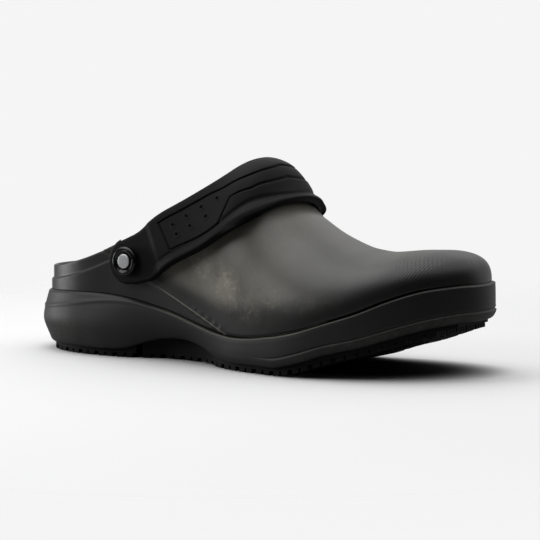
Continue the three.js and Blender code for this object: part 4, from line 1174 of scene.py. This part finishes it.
lengthways = math_node(tree, "ADD", math_node(tree, "MULTIPLY", x, math.cos(SHADE_ANGLE) / SHADE_LONG),
                       math_node(tree, "MULTIPLY", y, math.sin(SHADE_ANGLE) / SHADE_LONG))
sideways = math_node(tree, "SUBTRACT", math_node(tree, "MULTIPLY", y, math.cos(SHADE_ANGLE) / SHADE_WIDE),
                     math_node(tree, "MULTIPLY", x, math.sin(SHADE_ANGLE) / SHADE_WIDE))
away = math_node(tree, "ADD", math_node(tree, "MULTIPLY", lengthways, lengthways),
                 math_node(tree, "MULTIPLY", sideways, sideways))
SHADE_CORE, SHADE_DEPTH = 0.2, 0.95
shade = range_node(tree, away, SHADE_CORE, 1.0, SHADE_DEPTH, 0.0)
floor_colour = mix_colour(tree, shade, floor_colour, (0, 0, 0, 1))
tree.links.new(floor_colour, diffuse.inputs["Color"])
clear = tree.nodes.new("ShaderNodeBsdfTransparent")
blend = tree.nodes.new("ShaderNodeMixShader")
FLOOR_SOLID, FLOOR_GONE = 0.2, 0.52
set_inputs(tree, blend, {0: range_node(tree, distance.outputs["Value"], FLOOR_SOLID, FLOOR_GONE)})
tree.links.new(diffuse.outputs[0], blend.inputs[1])
tree.links.new(clear.outputs[0], blend.inputs[2])
tree.links.new(blend.outputs[0], out.inputs[0])
floor_mesh.materials.append(pale)
print("floor", 2 * FLOOR, "m across")

# %% World
# The camera sees a plain pale backdrop. The shoe sees a room: a large bright ceiling, a white wall
# behind it, and nearly nothing low down in front.
world = bpy.data.worlds.new("studio")
bpy.context.scene.world = world
world.use_nodes = True
tree = world.node_tree
tree.nodes.clear()
out = tree.nodes.new("ShaderNodeOutputWorld")
where = tree.nodes.new("ShaderNodeTexCoord")
split = tree.nodes.new("ShaderNodeSeparateXYZ")
tree.links.new(where.outputs["Generated"], split.inputs[0])
BACK = (-0.2, 0.95)
CEILING, WALL_BEHIND, LOW_FRONT, BACKDROP = 1.0, 0.55, 0.01, 0.913
back = math_node(tree, "ADD", math_node(tree, "MULTIPLY", split.outputs[0], BACK[0]),
                 math_node(tree, "MULTIPLY", split.outputs[1], BACK[1]))
BACK_SHARE = 0.35
overhead = math_node(tree, "MULTIPLY_ADD", back, BACK_SHARE, split.outputs[2])
ceiling = range_node(tree, overhead, 0.4, 0.75, LOW_FRONT, CEILING)
behind = range_node(tree, back, 0.2, 0.8, LOW_FRONT, WALL_BEHIND)
room = math_node(tree, "MAXIMUM", ceiling, behind)
seen = tree.nodes.new("ShaderNodeLightPath").outputs["Is Camera Ray"]
strength = math_node(tree, "MULTIPLY", room, math_node(tree, "SUBTRACT", 1.0, seen))
grey = tree.nodes.new("ShaderNodeCombineXYZ")
for i in range(3):
    tree.links.new(math_node(tree, "MULTIPLY_ADD", seen, BACKDROP, strength), grey.inputs[i])
sky = tree.nodes.new("ShaderNodeBackground")
tree.links.new(grey.outputs[0], sky.inputs["Color"])
tree.links.new(sky.outputs[0], out.inputs[0])
print("world ready")


# %% Lights
def soft_light(name, place, aim, size, power, colour=(1, 1, 1)):
    """A square area light at a place, aimed at a point, in metres and watts."""
    data = bpy.data.lights.new(name, "AREA")
    data.shape, data.size, data.energy, data.color = "SQUARE", size, power, colour
    light = bpy.data.objects.new(name, data)
    bpy.context.scene.collection.objects.link(light)
    light.location = place
    light.rotation_mode = "QUATERNION"
    towards = np.array(aim, float) - np.array(place, float)
    light.rotation_quaternion = Vector(towards).to_track_quat("-Z", "Y")
    light.visible_camera = False
    return light


soft_light("overhead", (-0.3, -0.05, 1.3), (0, 0, 0), 1.2, 5.5)
soft_light("left_front", (-0.7, -0.75, 0.6), (0, -0.05, 0.05), 0.5, 2.6)
soft_light("low_left", (-0.95, -0.2, 0.1), (-0.1, 0, 0.04), 0.3, 1.8)

# %% Camera
# The camera stands where the photo was taken from, as worked out from the outline of a shoe of this
# length: about 32 degrees round from the side towards the toe and 4 degrees above the horizon. It is
# turned a little, to put the one shoe in the middle, and its lens is longer, to fill the frame.
YAW, PITCH, PHOTO_FOCUS, HALF_FRAME, SENSOR = math.radians(31.66), math.radians(3.67), 1430.0, 270.0, 36.0
CAMERA_PLACE = np.array([743.7, -1067.9, 174.3])
SHOE_MIDDLE = (199.0, 313.0)
CLOSER = 1.6
camera_data = bpy.data.cameras.new("camera")
camera = bpy.data.objects.new("camera", camera_data)
bpy.context.scene.collection.objects.link(camera)
bpy.context.scene.camera = camera
camera_data.sensor_width = SENSOR
camera_data.lens = SENSOR * PHOTO_FOCUS / (2 * HALF_FRAME) * CLOSER
look = np.array([-math.sin(YAW) * math.cos(PITCH), math.cos(YAW) * math.cos(PITCH), -math.sin(PITCH)])
right = unit(np.cross(look, [0, 0, 1]))
up = np.cross(right, look)
aim = (look + right * (SHOE_MIDDLE[0] - HALF_FRAME) / PHOTO_FOCUS
       - up * (SHOE_MIDDLE[1] - HALF_FRAME) / PHOTO_FOCUS)
camera.location = CAMERA_PLACE * MM
camera.rotation_mode = "QUATERNION"
camera.rotation_quaternion = Vector(aim).to_track_quat("-Z", "Y")
camera_data.clip_start, camera_data.clip_end = 0.05, 50
bpy.context.scene.view_settings.view_transform = "Standard"
print("lens", round(camera_data.lens, 1), "mm")
